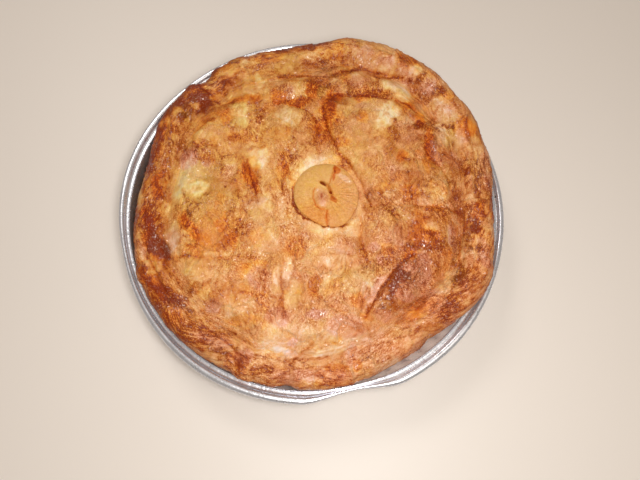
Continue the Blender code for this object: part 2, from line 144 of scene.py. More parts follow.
# Folds: start x, start y, end x, end y, bend to the left, crease depth, step up on the right-hand side.
FOLDS = (
    (8, 73, 18, 29, -3, 1.4, -3.0), (18, 29, 37, -8, 3, 1.6, -3.2), (31, 0, 34, -43, -2, 1.2, -1.4),
    (37, -8, 92, -8, 3, 1.2, 1.0), (74, 32, 90, 0, 2, 1.2, -1.4), (63, -36, 32, -76, -4, 1.6, -2.6),
    (-17, -38, -15, -76, -2, 1.0, 1.2), (-88, -36, -32, -37, -2, 1.0, -1.0),
    (-51, -40, -49, -68, 2, 0.8, 0.8), (0, -60, 38, -84, -1, 0.9, 1.0), (-24, 91, 12, 88, 2, 1.8, -1.8),
    (12, 88, 33, 95.5, 2, 1.8, -2.2), (33, 95.5, 62, 87, 0, 1.8, -2.0), (62, 88, 88, 68, 3, 1.0, -1.0),
    (-15, 65, 4, 42, 6, 1.2, 1.4), (10, 72, 54, 69, 1, 1.4, 1.4), (54, 69, 92, 47, -1, 1.2, 1.4),
    (42, 90, 43, 73, 0, 0.8, 1.0), (-42, 26, -33, -4, 1, 1.6, 1.4), (-22, 12, -13, -15, 2, 1.2, -1.0),
    (-104, 30, -92, -46, -14, 2.4, 0.0), (-80, 54, -84, -42, -12, 0.8, 0.0),
    (-95, -42, -66, -78, -3, 1.8, 0.0), (-64, -80, -34, -100, 0, 2.0, 1.0),
    (-12, -101, 2, -89, 0, 1.2, 1.4), (20, -104, 25, -91, 0, 1.2, -1.2), (50, -93, 86, -54, -5, 1.6, 0.0),
    (90, -58, 99, -8, 3, 1.6, 0.8), (-84, 86, -66, 72, 0, 1.8, 2.4), (-66, 72, -50, 68, -2, 1.0, 1.4),
)  # fmt: skip

# Finer folds, too small for the solids, listed in the same way.
FINE_FOLDS = (
    (-5, 89, 11, 78, -1, 1.0, 0.8), (12, 79, 20, 71, 1, 0.9, -0.8), (57, 110, 57, 92, 1, 0.7, 0.5),
    (54, 68, 70, 48, -1, 0.8, 0.7), (70, 58, 84, 58, 1, 0.5, 0.5), (60, 18, 60, 2, 0, 0.8, 0.6),
    (40, -4, 54, -14, -1, 0.8, 0.8), (44, -4, 66, -2, 1, 0.4, -0.4), (61, -14, 61, -40, 1, 0.7, 0.5),
    (80, -12, 87, -30, 0, 0.6, 0.5), (76, -40, 84, -60, -2, 0.6, 0.6), (84, -48, 58, -78, -2, 0.6, -0.9),
    (52, -62, 70, -59, 2, 0.5, 0.6), (45, -62, 50, -50, 0, 0.4, 0.5), (33, -55, 29, -76, -1, 0.6, 0.8),
    (20, -46, 24, -66, 1, 0.5, 0.5), (6, -42, 12, -58, 2, 0.5, -0.5), (30, -48, 20, -42, 0, 0.4, 0.4),
    (-9, -44, -4, -64, 1, 0.6, 0.6), (-22, -44, -26, -72, 0, 0.4, 0.5), (-33, -42, -30, -72, 1, 0.4, -0.4),
    (-47, -70, -33, -73, 3, 0.6, 0.7), (-48, -74, -34, -82, -2, 0.6, 0.6),
    (-70, -52, -67, -60, 0, 0.6, 0.4), (-80, -50, -66, -62, 1, 0.5, 0.5),
    (-86, -46, -74, -56, 1, 0.5, -0.5), (-66, -38, -84, -28, -2, 0.5, 0.4),
    (-77, -8, -69, -28, 2, 0.7, 0.5), (-47, 10, -43, -22, 1, 0.7, 0.6), (-45, 27, -40, 4, 1, 0.6, 0.5),
    (-27, 40, -10, 16, 3, 0.5, 0.5), (-44, 38, -30, 33, -1, 0.6, 0.4), (-56, 42, -42, 39, 0, 0.5, 0.4),
    (-78, 42, -62, 56, 2, 0.8, 0.5), (-62, 60, -48, 46, 1, 0.5, 0.4), (-44, 76, -34, 56, 2, 0.6, 0.6),
    (-34, 62, -20, 67, 1, 0.7, -0.6), (-50, 88, -36, 94, 0, 0.6, 0.5), (-8, 28, -12, 14, 1, 0.6, 0.6),
    (2, 42, 4, 30, 0, 0.5, 0.5), (48, 38, 58, 22, 1, 0.4, 0.5), (66, 44, 74, 30, -1, 0.5, 0.6),
    (100, 24, 104, -4, 1, 0.8, 0.5), (102, -10, 96, -34, 1, 0.8, -0.6), (86, 12, 100, 22, 1, 0.5, 0.5),
    (-92, 62, -98, 34, 1, 0.9, 0.4), (-84, 52, -86, 34, 1, 0.8, 0.4), (-108, -8, -104, -40, 1, 0.8, 0.5),
    (-98, -44, -84, -68, 1, 0.9, 0.6), (-88, -68, -62, -90, 1, 0.9, -0.6),
    (-58, -92, -30, -106, 1, 0.8, 0.6), (-22, -104, 18, -106, 1, 0.7, 0.6),
    (28, -92, 48, -90, 1, 0.7, 0.6), (60, -84, 84, -66, 1, 0.8, 0.6),
)  # fmt: skip

# How wide creases, thin lines and steps are, how far beside a fold its foot and its lip lie, and how far
# its flap reaches
CREASE_HALF_WIDTH = 2.0
LINE_HALF_WIDTH = 0.7
STEP_HALF_WIDTH = 0.8
FOOT_AT = 0.5
LIP_AT = 1.3
LIP_HALF_WIDTH = 0.7
FLAP_REACH = 10.0
FINE_FLAP_REACH = 5.0
FOLD_POINTS = 9

# Where the border's wrinkles run across it and not round it
PLEATED_ANGLE = 52.0
PLEATED_HALF_ANGLE = 60.0

# Packets of small parallel wrinkles: x, y, half length, half width, direction, spacing, height.
WRINKLES = (
    (-70, -32, 12, 7, -38, 2.6, 0.35), (-45, -12, 9, 14, 75, 2.8, 0.35), (-10, -95, 11, 8, 48, 3.0, 0.6),
    (24, -96, 9, 9, 68, 3.2, 0.6), (-45, -88, 16, 6, -24, 2.8, 0.55), (-72, -74, 14, 6, -42, 2.8, 0.5),
    (-100, -28, 16, 6, -62, 2.6, 0.4), (-96, 20, 24, 8, 88, 2.8, 0.5), (-86, 56, 16, 8, 62, 2.8, 0.5),
    (62, -48, 16, 9, 60, 2.8, 0.5), (92, -34, 20, 7, 72, 3.0, 0.5), (98, 10, 20, 9, 98, 3.0, 0.45),
    (88, 34, 16, 8, 128, 2.8, 0.4), (24, 100, 22, 8, 82, 3.4, 0.35), (56, 98, 14, 10, 76, 3.0, 0.3),
    (16, 79, 9, 6, -52, 2.6, 0.4), (30, -60, 10, 12, 80, 3.2, 0.3), (-20, -58, 6, 14, 92, 3.0, 0.3),
    (54, -24, 8, 16, 78, 2.8, 0.3), (52, -6, 14, 5, -30, 2.4, 0.3), (-34, 12, 5, 14, -62, 2.4, 0.3),
    (-16, 2, 3, 14, -66, 2.0, 0.2), (18, -74, 18, 7, -30, 2.8, 0.3), (-34, 60, 7, 9, 60, 2.6, 0.35),
)  # fmt: skip

# How noise moves points about before things are drawn on them: size, reach and seed of each bend.
FOLD_BENDS = ((9.0, 1.6, 11), (3.5, 0.7, 13))
SPOT_BENDS = ((9.0, 2.4, 31), (3.5, 1.2, 33), (1.4, 0.5, 35))
GRAIN_BENDS = ((6.0, 1.5, 47),)
GRAIN_STRETCH = 2.2
SKIN_BENDS = ((4.0, 1.2, 51),)
ROSETTE_BENDS = ((3.0, 0.9, 63),)
# How far apart in space the noise of one seed and the next is read
SEED_STEPS = (7.31, 3.17, 5.71)

# Sheets of dough: their sizes, how x and y are scaled on the crown and angle and share on the border, and
# how far apart seeds, tones and grains are drawn, so that no two sheets are alike.
BIG_SHEET = 15.0
SMALL_SHEET = 7.0
SHEETS_ON_CROWN = (1.25, 0.9)
SHEETS_ON_BORDER = (62.0, 150.0)
SHEET_SEED_STEP = 13.7
SHEET_SCATTER = 97.0
SHEET_GRAIN_SHIFT = 90.0

# A point's marks: crease darkness, partly browning and partly painted shade; tone; hue; edges, with painted
# highlights on the flaps' lips; and its place along and across the grain.
MARKS = 6

# How far the crust is baked, 0 pale to 1 nearly black: in the middle, down its side, and in eight
# directions from +X inside the groove and on the border, whose brownest stretch comes on top.
MIDDLE_BAKE = 0.46
SIDE_BAKE = 0.45
CROWN_BAKE = (0.64, 0.50, 0.47, 0.50, 0.63, 0.52, 0.50, 0.60)
BORDER_BAKE = (0.53, 0.49, 0.51, 0.56, 0.64, 0.56, 0.48, 0.53)
BROWNEST_ANGLE = 135.0
BROWNEST_HALF_ANGLE = 32.0

# How much the brown and pale spots change the bake, and how sharp the edges of all spots are
BROWN_DEPTH = 0.56
PALE_DEPTH = 0.58
SPOT_SHARPNESS = 2.4

# Spots of colour: x, y, half length, half width, direction, strength.
# Brown spots are partly browning and partly painted shade along creases and on slopes that face away from
# the light.
BROWN_AND_SHADE = (
    (-72, 69, 14, 9, 25, 0.42), (-57, 80, 8, 6, 20, 0.34), (-85, 60, 8, 8, 0, 0.24),
    (-66.5, 56.5, 6, 4, 0, 0.5), (-100, 20, 5, 12, 0, 0.22), (-106, 40, 4, 12, -14, 0.22),
    (-97, 2, 3, 10, 0, 0.1), (-101, -8, 3, 14, 6, 0.4), (-99, -20, 5, 16, 16, 0.6),
    (-92, -33, 9, 5, -50, 0.5), (-87, -46, 4, 6, 20, 0.22), (-96, -52, 8, 4, -55, 0.24),
    (-87, -60, 11, 6, -44, 0.32), (-88, -70, 14, 4, -48, 0.5), (-79, -66, 9, 4, -35, 0.24),
    (-70, -56, 3, 5, -15, 0.3), (-58, -64, 8, 6, 0, 0.18), (-62, -83, 14, 4, -14, 0.34),
    (-66, -90, 9, 4, -34, 0.3), (-54, -93, 12, 3, -24, 0.22), (-46, -99, 7, 4, -20, 0.46),
    (-45, -83, 6, 2, -24, 0.24), (-28, -106, 7, 4, -8, 0.55), (-49, -28, 9, 5, 50, 0.34),
    (-39, 14, 12, 4, -62, 0.32), (-17, 19, 5, 9, 10, 0.22), (-16, 1, 2, 14, 24, 0.24),
    (-11, 24, 4, 6, 20, 0.3), (-20, 27, 12, 6, 10, 0.1), (-20, 73, 9, 9, 0, 0.36),
    (-20, 67, 12, 3, 4, 0.26), (-12, 90, 15, 2, 2, 0.3), (-34, 62, 4, 12, 12, 0.42),
    (-48, 40, 6, 3, 0, 0.24), (-20, 108, 14, 6, 6, 0.34), (4, 82, 12, 12, 0, 0.42), (8, 95, 8, 6, 0, 0.34),
    (-8, 68, 12, 4, 10, 0.36), (15, 88, 9, 2.5, 20, 0.4), (27, 93, 10, 2.5, 20, 0.4),
    (45, 89, 13, 2.5, -14, 0.34), (31, 82, 11, 10, 0, 0.24), (44, 74, 10, 5, 0, 0.3),
    (57, 67, 5, 5, -40, 0.34), (17, 70, 9, 5, -30, 0.6), (11, 62, 5, 12, -4, 0.5), (6, 46, 7, 14, 0, 0.34),
    (17, 48, 5, 7, 0, 0.3), (13, 34, 3, 12, 24, 0.26), (19, 22, 2, 9, 20, 0.24), (34, -8, 2, 16, 26, 0.22),
    (33, -32, 2, 14, 2, 0.2), (67, 84, 7, 3, -35, 0.16), (72, 72, 8, 5, 20, 0.34),
    (64, 66, 10, 2.5, -40, 0.28), (85, 52, 1.6, 1.6, 0, 0.4), (91, 49, 1.6, 1.6, 0, 0.4),
    (62, 41, 11, 9, -10, 0.16), (51, 37, 4, 12, 0, 0.36), (75, 28, 5, 12, 8, 0.3), (57, 27, 4, 9, 0, 0.1),
    (95, 22, 8, 9, -50, 0.18), (101, 14, 9, 9, 80, 0.14), (61, 11, 2, 11, 0, 0.24),
    (88, 8, 2, 14, 25, 0.22), (72, -7, 24, 2, -3, 0.24), (48, -10, 9, 4, -30, 0.3),
    (78, -30, 7, 5, 30, 0.26), (56, -50, 18, 9, 55, 0.34), (44, -56, 20, 2.5, 52, 0.34),
    (38, -44, 11, 4, 20, 0.24), (91, -50, 3.5, 10, 6, 0.36), (96.5, -49.5, 5, 6, 0, 0.48),
    (92, -60, 9, 3.5, 30, 0.34), (89, -30, 4, 9, 10, 0.28), (93, -6, 5, 8, 10, 0.36),
    (100, -16, 4, 9, 8, 0.55), (95, -30, 2, 10, 0, 0.16), (86, -40, 2, 6, 0, 0.3),
    (80, -68, 5, 6, -35, 0.14), (-8, -33, 8, 9, 10, 0.24), (2.5, -54.5, 6, 6, 20, 0.5),
    (58, -65, 12, 3, 16, 0.18), (-17, -70, 2, 10, 6, 0.16), (0, -76, 9, 5, 8, 0.16),
    (30, -82, 12, 2, -40, 0.14), (-66, 26, 9, 4, -20, 0.1), (-1, 44, 3, 8, 20, 0.16),
    (2, 74, 6, 12, 0, 0.4), (34, 73, 17, 3, -2, 0.5), (15, 92, 4, 8, 0, 0.3), (-68, 65, 7, 6, 0, 0.34),
    (-47, 67, 5, 6, 0, 0.3), (-82, 39, 4, 6, 0, 0.24), (-30, 62, 3, 6, 0, 0.2), (-24, 53, 5, 4, 0, 0.2),
    (-3, 54, 5, 12, 0, 0.2), (-101.5, -45, 5, 4, 0, 0.54), (-78, -82, 12, 4, -46, 0.44),
    (76, 39, 7, 7, 0, 0.5), (69, 50, 4, 4, 0, 0.6), (109, 8, 3, 7, 0, 0.34), (67, -32, 12, 3, 0, 0.34),
    (47, -40, 5, 4, 0, 0.34), (20, -31, 4, 4, 0, 0.2), (51, -12, 5, 4, 0, 0.24), (2, 112, 5, 4, 0, 0.4),
    (13, 66, 5, 7, 0, 0.34), (-98, -6, 5, 14, 0, 0.4), (-96, -22, 4, 6, 0, 0.3), (-59, 63, 7, 5, 0, 0.3),
    (-71, 72, 5, 6, 30, 0.3), (-80, 78, 9, 4, 0, 0.3), (3, 84, 5, 5, 0, 0.3), (-82, -66, 8, 5, -48, 0.3),
    (-78, -75, 10, 4, -46, 0.3), (-41, -99, 4, 4, 0, 0.3), (20, -105, 3, 4, 0, 0.24),
    (99, -21.5, 4, 4, 0, 0.84), (-74.5, -15, 4, 7, 0, 0.4), (63, 63, 4, 4, 0, 0.24),
    (-86, 79, 8, 5, 40, 0.2), (-78, 86, 5, 4, 0, 0.3), (-70, 62, 6, 7, 0, 0.12),
    (-100, 40, 5, 13, -10, 0.3), (-101.5, 25, 4, 9, 0, 0.7), (-83.5, 56.5, 4, 4, 0, 0.44),
    (7, 112, 11, 6, 0, 0.4), (22, 100, 5, 4, 0, 0.3), (-64, 95, 9, 4, 40, 0.4), (-90, 67, 4, 4, 0, 0.4),
    (-57, 83, 5, 4, 0, 0.2), (-22, 104, 4, 4, 0, 0.24), (-50, 38, 6, 3, 15, 0.24), (-32, 53, 4, 4, 0, 0.3),
    (-95, 8, 2, 9, 10, 0.34), (-104, 9.5, 2, 6, 0, 0.15), (-93, -31, 6, 5, -50, 0.3),
    (-88, -38, 5, 4, -40, 0.24), (-82, -60, 9, 3, -45, 0.5), (-86, -70, 5, 3, -50, 0.24),
    (-73, -84, 7, 3, -40, 0.24), (-26, -51, 4, 4, 0, 0.3), (-82.5, -8, 4, 5, 0, 0.48),
    (40, 71, 14, 2, -4, 0.3), (54, 42, 3, 10, 0, 0.3), (66, 81, 8, 4, -40, 0.24),
    (83, 74.5, 6, 5, 0, 0.54), (92, 31, 5, 6, 0, 0.3), (48, 27, 4, 5, 0, 0.24), (20, 20, 5, 7, -30, 0.34),
    (99, 17.5, 4, 3, 0, 0.6), (106, 24, 4, 4, 0, 0.24), (102, 4, 3, 7, 0, 0.34), (112, -3, 3, 8, 0, 0.34),
    (87, -32, 4, 4, 0, 0.3), (100.5, -33, 4, 3, 0, 0.58), (50, -44, 5, 5, 40, 0.2),
    (46, -67, 5, 6, 0, 0.3), (82, -66, 9, 3, 50, 0.34), (70, -78, 5, 2, 0, 0.24), (98, -51, 6, 4, 0, 0.14),
    (-71, 87, 5, 6, 40, 0.3), (-19, 87, 4, 4, 0, 0.2), (-12, 107, 16, 5, 8, 0.3), (-2, 110, 5, 4, 0, 0.3),
    (-98, 38, 4, 14, -12, 0.2), (-100, -20, 5, 9, 0, 0.3), (-108, -12, 3, 24, 6, 0.24),
    (-97, -42, 2, 4, 0, 0.1), (-88, -33, 6, 5, -30, 0.34), (-37, 4, 4, 9, -10, 0.15),
    (-14, 0, 2, 7, 0, 0.34), (13, 79, 2, 6, -50, 0.4), (27, 79, 4, 5, 0, 0.4), (32, 70, 6, 3, 0, 0.34),
    (9, 42, 7, 9, 0, 0.2), (18, 38, 5, 6, 0, 0.24), (17, 20, 4, 6, -20, 0.24), (73, 82, 8, 6, -40, 0.24),
    (33, 33, 5, 5, 0, 0.24), (92, 5, 4, 6, 0, 0.3), (93, -10, 3, 9, 10, 0.34), (102, -22, 4, 4, 0, 0.34),
    (89, -22, 3, 10, 10, 0.24), (87, -52, 4, 5, 0, 0.34), (60, -33, 8, 3, 0, 0.24),
    (73, -27, 5, 4, 0, 0.24), (53, -52, 5, 5, 0, 0.4), (37, -58, 2, 10, -32, 0.34),
    (87, -66, 8, 4, 50, 0.34), (-38, -100, 4, 4, 0, 0.34), (-10, -101, 3, 3, 0, 0.34),
    (8, -98, 5, 2, 0, 0.2), (-88, -56, 6, 3, -50, 0.24), (-14, -55, 2, 6, 0, 0.24),
    (2, 109, 4, 7, -40, 0.44), (-75.5, 71.5, 6, 4, 15, 0.54), (-52, 65, 7, 7, 0, 0.24),
    (-5, 66, 6, 5, 0, 0.24), (75, 49, 8, 4, 0, 0.5), (81, 56, 4, 4, 0, 0.3), (100, 43, 4, 7, 20, 0.3),
    (78, 18, 4, 4, 0, 0.3), (104, -6, 4, 10, 10, 0.34), (94, 1, 3, 4, 0, 0.24), (92, -29, 4, 3, 0, 0.3),
    (88, -37, 2, 9, -8, 0.34), (86, -53, 6, 3, 60, 0.24), (49, -58, 4, 4, 0, 0.4),
    (61, -66, 9, 2.5, 28, 0.3), (81, -71, 8, 4, 40, 0.24), (15, -43, 5, 3, 0, 0.2),
    (-28, -98, 7, 3, 0, 0.3), (14, -104, 9, 3, 0, 0.24), (-78, -62, 6, 2.5, -45, 0.3),
    (-75, 35, 8, 3, -58, 0.3), (-97, 31, 2.5, 8, 0, 0.34), (-33, 18, 4, 6, 0, 0.3),
    (-31, 2, 2, 6, 0, 0.24), (0, 40, 4, 8, 0, 0.24), (-3, -28, 5, 9, 0, 0.24), (-38, -63, 7, 4, 0, 0.24),
    (-53, 40, 4, 3, 0, 0.2), (-14, 14, 2, 8, 10, 0.24), (-71, 68, 6, 5, 30, 0.34),
    (-92, 65, 7, 5, 50, 0.42), (-96, 58, 5, 4, 60, 0.3), (0, 107, 7, 4, 0, 0.4), (-63, 94, 4, 5, 40, 0.2),
    (26, 91, 5, 3, 10, 0.2), (-88, 46, 4, 5, 0, 0.24), (-86, 66, 5, 7, 40, 0.34), (-66, 77, 4, 4, 0, 0.24),
    (64, 96, 8, 7, -35, 0.3), (46, -55, 3, 9, -35, 0.2),
)  # fmt: skip
# Pale spots are mostly paler pastry; the thin one at 39, -58 is a painted highlight along a fold's raised
# lip.
PALE_AND_HIGHLIGHT = (
    (50, 60, 12, 7, 70, 0.5), (45.5, 49, 6, 7, 0, 0.42), (54, 82, 12, 7, -25, 0.42),
    (85, 43, 9, 7, 20, 0.14), (-16, 54, 11, 9, -10, 0.28), (-46, 57, 7, 12, 4, 0.26),
    (-33, 26, 8, 9, -20, 0.55), (-25, 10, 4, 22, 28, 0.26), (-17, -10, 3, 12, 20, 0.24),
    (-5, 22, 9, 6, 20, 0.34), (4, 27, 10, 4, 0, 0.24), (-13, 12, 3, 10, -20, 0.16),
    (26, -23, 7, 5, 0, 0.32), (30, -10, 3, 12, -4, 0.26), (12, -24, 12, 4, 0, 0.2),
    (-76, 14, 13, 12, 0, 0.24), (-81, 18, 6, 12, 0, 0.34), (-82, -4, 6, 10, 0, 0.44),
    (-80, -33, 7, 6, 0, 0.34), (-74, 40, 8, 7, 0, 0.34), (-43, -6, 3, 13, 0, 0.38), (-30, 0, 6, 9, 0, 0.4),
    (-52, 24, 4, 4, 0, 0.24), (-85, -24, 5, 9, 0, 0.2), (-68, 46, 12, 8, 20, 0.1),
    (-30, -26, 7, 10, 20, 0.2), (-34, -10, 5, 9, 20, 0.2), (-20, -14, 4, 6, 0, 0.2),
    (-14, -46, 4, 9, 10, 0.52), (-11, -60, 6, 10, 10, 0.2), (-22, -54, 4, 11, 4, 0.26),
    (-42, -66, 11, 6, -10, 0.28), (-38, -48, 6, 5, 0, 0.1), (-66, -49, 14, 5, -14, 0.24),
    (-24, -86, 12, 9, 0, 0.22), (-10, -91, 26, 4, 0, 0.24), (26, -91, 16, 5, 8, 0.26),
    (-38, -93, 6, 4, 0, 0.3), (12, -51, 8, 5, 20, 0.3), (26, -54, 9, 7, 0, 0.24), (24, -63, 5, 6, 0, 0.18),
    (36, -61, 3, 9, -28, 0.3), (22, -36, 7, 6, 0, 0.26), (46, -25, 9, 11, 0, 0.28),
    (38, -33, 6, 5, 0, 0.18), (56, -12, 9, 3, -30, 0.2), (72, -20, 7, 5, 0, 0.28), (66, 2, 5, 4, 0, 0.26),
    (78, 6, 8, 8, 0, 0.26), (86, 9, 3, 8, 0, 0.26), (84, -24, 3, 7, 0, 0.3), (83, -50, 9, 3, 46, 0.3),
    (92, -35, 6, 4, 0, 0.3), (99, -27, 3, 7, 0, 0.18), (78, -70, 8, 9, 40, 0.14),
    (82, -77, 8, 4, 45, 0.16), (66, -76, 5, 4, 0, 0.2), (-8, 77, 6, 6, 0, 0.16), (34, 104, 7, 9, -8, 0.2),
    (-35, 84, 5, 7, 0, 0.34), (-42, 58, 2, 14, 8, 0.24), (-35, 45, 5, 5, 0, 0.24),
    (-56, 91, 7, 6, 0, 0.16), (-16, 92, 7, 3, 0, 0.26), (48, 108, 22, 8, -8, 0.14),
    (64, 89.5, 10, 4, -32, 0.19), (76, 81, 5, 6, 0, 0.34), (89, 56, 8, 5, -20, 0.3),
    (95, 34, 6, 6, 0, 0.3), (60, 53, 7, 4, -20, 0.26), (40, 32, 5, 5, 0, 0.18), (28, 20, 3, 7, 30, 0.26),
    (42, -81, 12, 3, 6, 0.2), (54, -89, 9, 4, 20, 0.1), (22, -99, 5, 7, -10, 0.14),
    (15, -32, 9, 5, 0, 0.2), (-103, -35, 3, 7, 20, 0.2), (-95, -46, 4, 4, 0, 0.2),
    (-4, -38, 7, 6, 0, 0.14), (42, 95, 9, 3, -20, 0.26), (-83, 6, 5, 9, 0, 0.42), (-78, -24, 9, 4, 0, 0.4),
    (-53, -10, 3, 5, 0, 0.3), (-28, -8, 2, 12, 20, 0.24), (-100, -36, 4, 6, 0, 0.34),
    (-92, -44, 4, 5, 0, 0.34), (-57, -38, 9, 3, 0, 0.34), (-68, -53, 5, 4, 0, 0.26),
    (-67, -64, 5, 5, 0, 0.26), (-63, 40, 5, 5, 0, 0.2), (-55, 77, 3, 6, 0, 0.3), (24, -85, 26, 5, 0, 0.24),
    (-28, -94, 6, 3, 0, 0.3), (-17, -94, 6, 3, 0, 0.3), (15, -41, 11, 5, 0, 0.44), (3, 91, 6, 4, 0, 0.34),
    (40, -17, 7, 6, 0, 0.16), (32, 25, 6, 9, 0, 0.24), (48, 5, 8, 6, 0, 0.26), (70, -3, 9, 5, 0, 0.26),
    (97, -1, 9, 4, 0, 0.3), (94, 12, 4, 5, 0, 0.24), (82.5, 51, 5, 4, 0, 0.7), (45, 52, 8, 7, 0, 0.16),
    (52, 77, 7, 4, 0, 0.2), (53, -58, 4, 5, 0, 0.15), (58, -45, 6, 5, 0, 0.24), (23, -106, 6, 5, 0, 0.34),
    (0, -111, 8, 2, 0, 0.3), (80, 68, 8, 5, 0, 0.2), (-70, 5, 7, 7, 0, 0.8), (-40, 8, 5, 12, 0, 0.24),
    (-74, 28, 7, 6, 0, 0.3), (-50, 22, 5, 5, 0, 0.2), (-87, 59, 6, 5, 30, 0.2), (-95, 53, 5, 4, 0, 0.3),
    (-62, -60, 4, 4, 0, 0.3), (2, -86, 30, 5, 0, 0.2), (-10, -95, 26, 4, 0, 0.3),
    (-50, -98, 7, 3, -20, 0.4), (98, -37, 7, 4, 0, 0.3), (50, 95, 7, 8, -30, 0.24),
    (33, 10, 9, 9, 0, 0.18), (-75, -45, 10, 7, 0, 0.16), (70, -8, 6, 5, 0, 0.16), (34, -56, 4, 3, 0, 0.3),
    (3.5, 101.5, 11, 3, 5, 0.32), (-6, 88, 6, 4, 0, 0.34), (-42, 80, 4, 9, 10, 0.3),
    (-45, 95.5, 4, 5, 0, 0.5), (-22, 86, 3, 8, 0, 0.24), (-78, 18, 7, 12, 0, 0.24),
    (-52, 18, 5, 6, 0, 0.2), (-83, -28, 4, 4, 0, 0.34), (-73, -28, 4, 3, 0, 0.34),
    (-62, -42, 9, 4, 0, 0.24), (-70, -70, 6, 3, 0, 0.3), (-87, 56, 8, 4, 45, 0.28),
    (-75, 65, 5, 3, -20, 0.68), (-68, 78, 5, 3, -20, 0.3), (60, 70, 6, 3, -30, 0.3),
    (27, 60, 4, 6, 0, 0.2), (40, 26, 5, 7, 0, 0.24), (58, 8, 8, 7, 0, 0.24), (-24, -84, 8, 7, 0, 0.2),
    (78, -57, 8, 3, 50, 0.2), (56, -62, 5, 5, 0, 0.18), (5, -34, 8, 5, 0, 0.24), (28, -62, 8, 4, 0, 0.16),
    (12, -107, 6, 3, 0, 0.4), (-22, -96, 20, 3, 0, 0.24), (-15, 49, 5, 5, 0, 0.24),
    (-20, 20, 4, 8, 0, 0.24), (-100.5, -0.5, 3, 4, 0, 0.54), (85, 62, 4, 5, 0, 0.2),
    (-69, -1, 9, 4, 0, 0.3), (-78, 5, 4, 5, 0, 0.3), (-89, -6, 3, 9, 0, 0.3), (-84, -17, 5, 5, 0, 0.24),
    (-27, 0, 3, 16, 14, 0.34), (-23, -24, 3, 10, 14, 0.34), (-19, -50, 3, 9, 0, 0.34),
    (-38, -4, 4, 4, 0, 0.24), (-57, 88, 5, 4, 0, 0.34), (-33, 78, 6, 6, 0, 0.24), (-54, 74, 4, 5, 0, 0.2),
    (-38, 35, 5, 4, 0, 0.24), (-98, -39.5, 5, 3, -50, 0.5), (-97, 4, 3, 6, 0, 0.24),
    (-109, 5, 2, 5, 0, 0.3), (59, 70, 5, 4, 0, 0.34), (22, 75, 2.5, 3, 0, 0.15), (30, 90, 6, 4, 0, 0.2),
    (53, 57, 4, 4, 0, 0.24), (38, 48, 6, 8, 0, 0.2), (73, 57, 7, 4, 0, 0.24), (105, 31, 4, 7, 0, 0.24),
    (103, 40, 4, 4, 0, 0.3), (60, 27, 3, 3, 0, 0.3), (60, 18, 5, 3, 0, 0.2), (84, 15, 3, 6, 0, 0.24),
    (78, 0, 7, 7, 0, 0.2), (56, -5, 9, 3, 0, 0.3), (70, -12, 3, 3, 0, 0.34), (24, -17, 6, 2, 40, 0.34),
    (20, -46, 12, 3, 4, 0.2), (34, -42, 3, 8, 10, 0.16), (76, -61, 9, 4, 40, 0.14),
    (84, -58, 5, 4, 0, 0.2), (97, -49, 4, 3, 0, 0.24), (97, -30, 10, 3, 0, 0.24),
    (108, -25, 3, 10, 0, 0.2), (-15, -79, 10, 3, -20, 0.34), (-52, -90, 4, 4, 0, 0.34),
    (-26, -101, 12, 3, -10, 0.3), (12, -94, 14, 3, 16, 0.34), (22, -98, 3, 5, 0, 0.14),
    (-47, -70, 4, 6, 0, 0.24), (-8, -48, 3, 4, 0, 0.24), (62, -87, 12, 3, 40, 0.14),
    (-108, 8, 4, 17, 2, 0.5), (-92, -5, 5, 6, 0, 0.44), (-103, -22, 3, 5, 10, 0.34),
    (-87, 24, 4, 5, 0, 0.34), (-86, 42, 4, 4, 0, 0.34), (-89, 11, 6, 5, 0, 0.24), (-34, 88, 5, 4, 0, 0.3),
    (-65, 74, 6, 5, -50, 0.3), (-5, 113, 7, 3, 0, 0.24), (28, 86, 7, 7, 0, 0.4), (15, 82, 3, 4, -40, 0.34),
    (68, 88, 6, 5, 0, 0.44), (62, 77, 4, 3, 0, 0.3), (46, 62, 8, 6, 0, 0.16), (85, 44, 3, 8, 0, 0.3),
    (73, -21, 5, 3, 0, 0.3), (85, -22, 3, 11, -4, 0.24), (84, -6, 14, 3, 4, 0.24),
    (57, -48, 4, 4, 0, 0.24), (36, -55, 4, 6, 0, 0.3), (90, -63, 6, 4, 40, 0.44),
    (44, -101, 11, 4, 24, 0.3), (9, -42, 7, 3, 0, 0.2), (-36, -48, 5, 9, 0, 0.16),
    (-32, -104, 5, 3, 0, 0.3), (-60, -62, 5, 3, -50, 0.24), (9, 51, 1.6, 9, 6, 0.24),
    (-102, 38, 3, 12, -14, 0.16), (62, -66, 3, 3, 0, 0.1), (39, -58, 14, 1.8, 56, 0.34),
    (115, 26, 2.5, 8, 14, 0.5),
)  # fmt: skip
KHAKI = (
    (-74, 12, 18, 17, 0, 0.6), (-60, -6, 22, 18, 0, 0.45), (-85, -24, 7, 12, 0, 0.5),
    (-46, 57, 8, 13, 4, 0.65), (55, 80, 13, 7, -25, 0.75), (86, 43, 12, 8, 20, 0.6),
    (-18, 97, 14, 7, 0, 0.5), (7, 92, 8, 4, 10, 0.5), (8, 75, 7, 6, 30, 0.5), (50, 57, 14, 8, 60, 0.3),
    (26, -54, 12, 11, 0, 0.45), (9, -55, 9, 8, 0, 0.35), (-11, -60, 7, 12, 10, 0.45),
    (-40, -76, 16, 6, 0, 0.5), (-30, -10, 8, 20, 20, 0.3), (78, 6, 10, 16, 0, 0.35),
    (84, -50, 9, 4, 46, 0.45), (96, -30, 7, 10, 0, 0.35), (38, -47, 12, 4, 4, 0.4),
    (-18, 52, 13, 12, 0, 0.3), (-60, 96, 16, 9, 25, 0.35), (0, -86, 20, 10, 0, 0.15),
    (72, 20, 8, 12, 0, 0.2), (-78, 58, 8, 4, 0, 0.4), (115, 26, 3, 8, 14, 0.9),
)  # fmt: skip
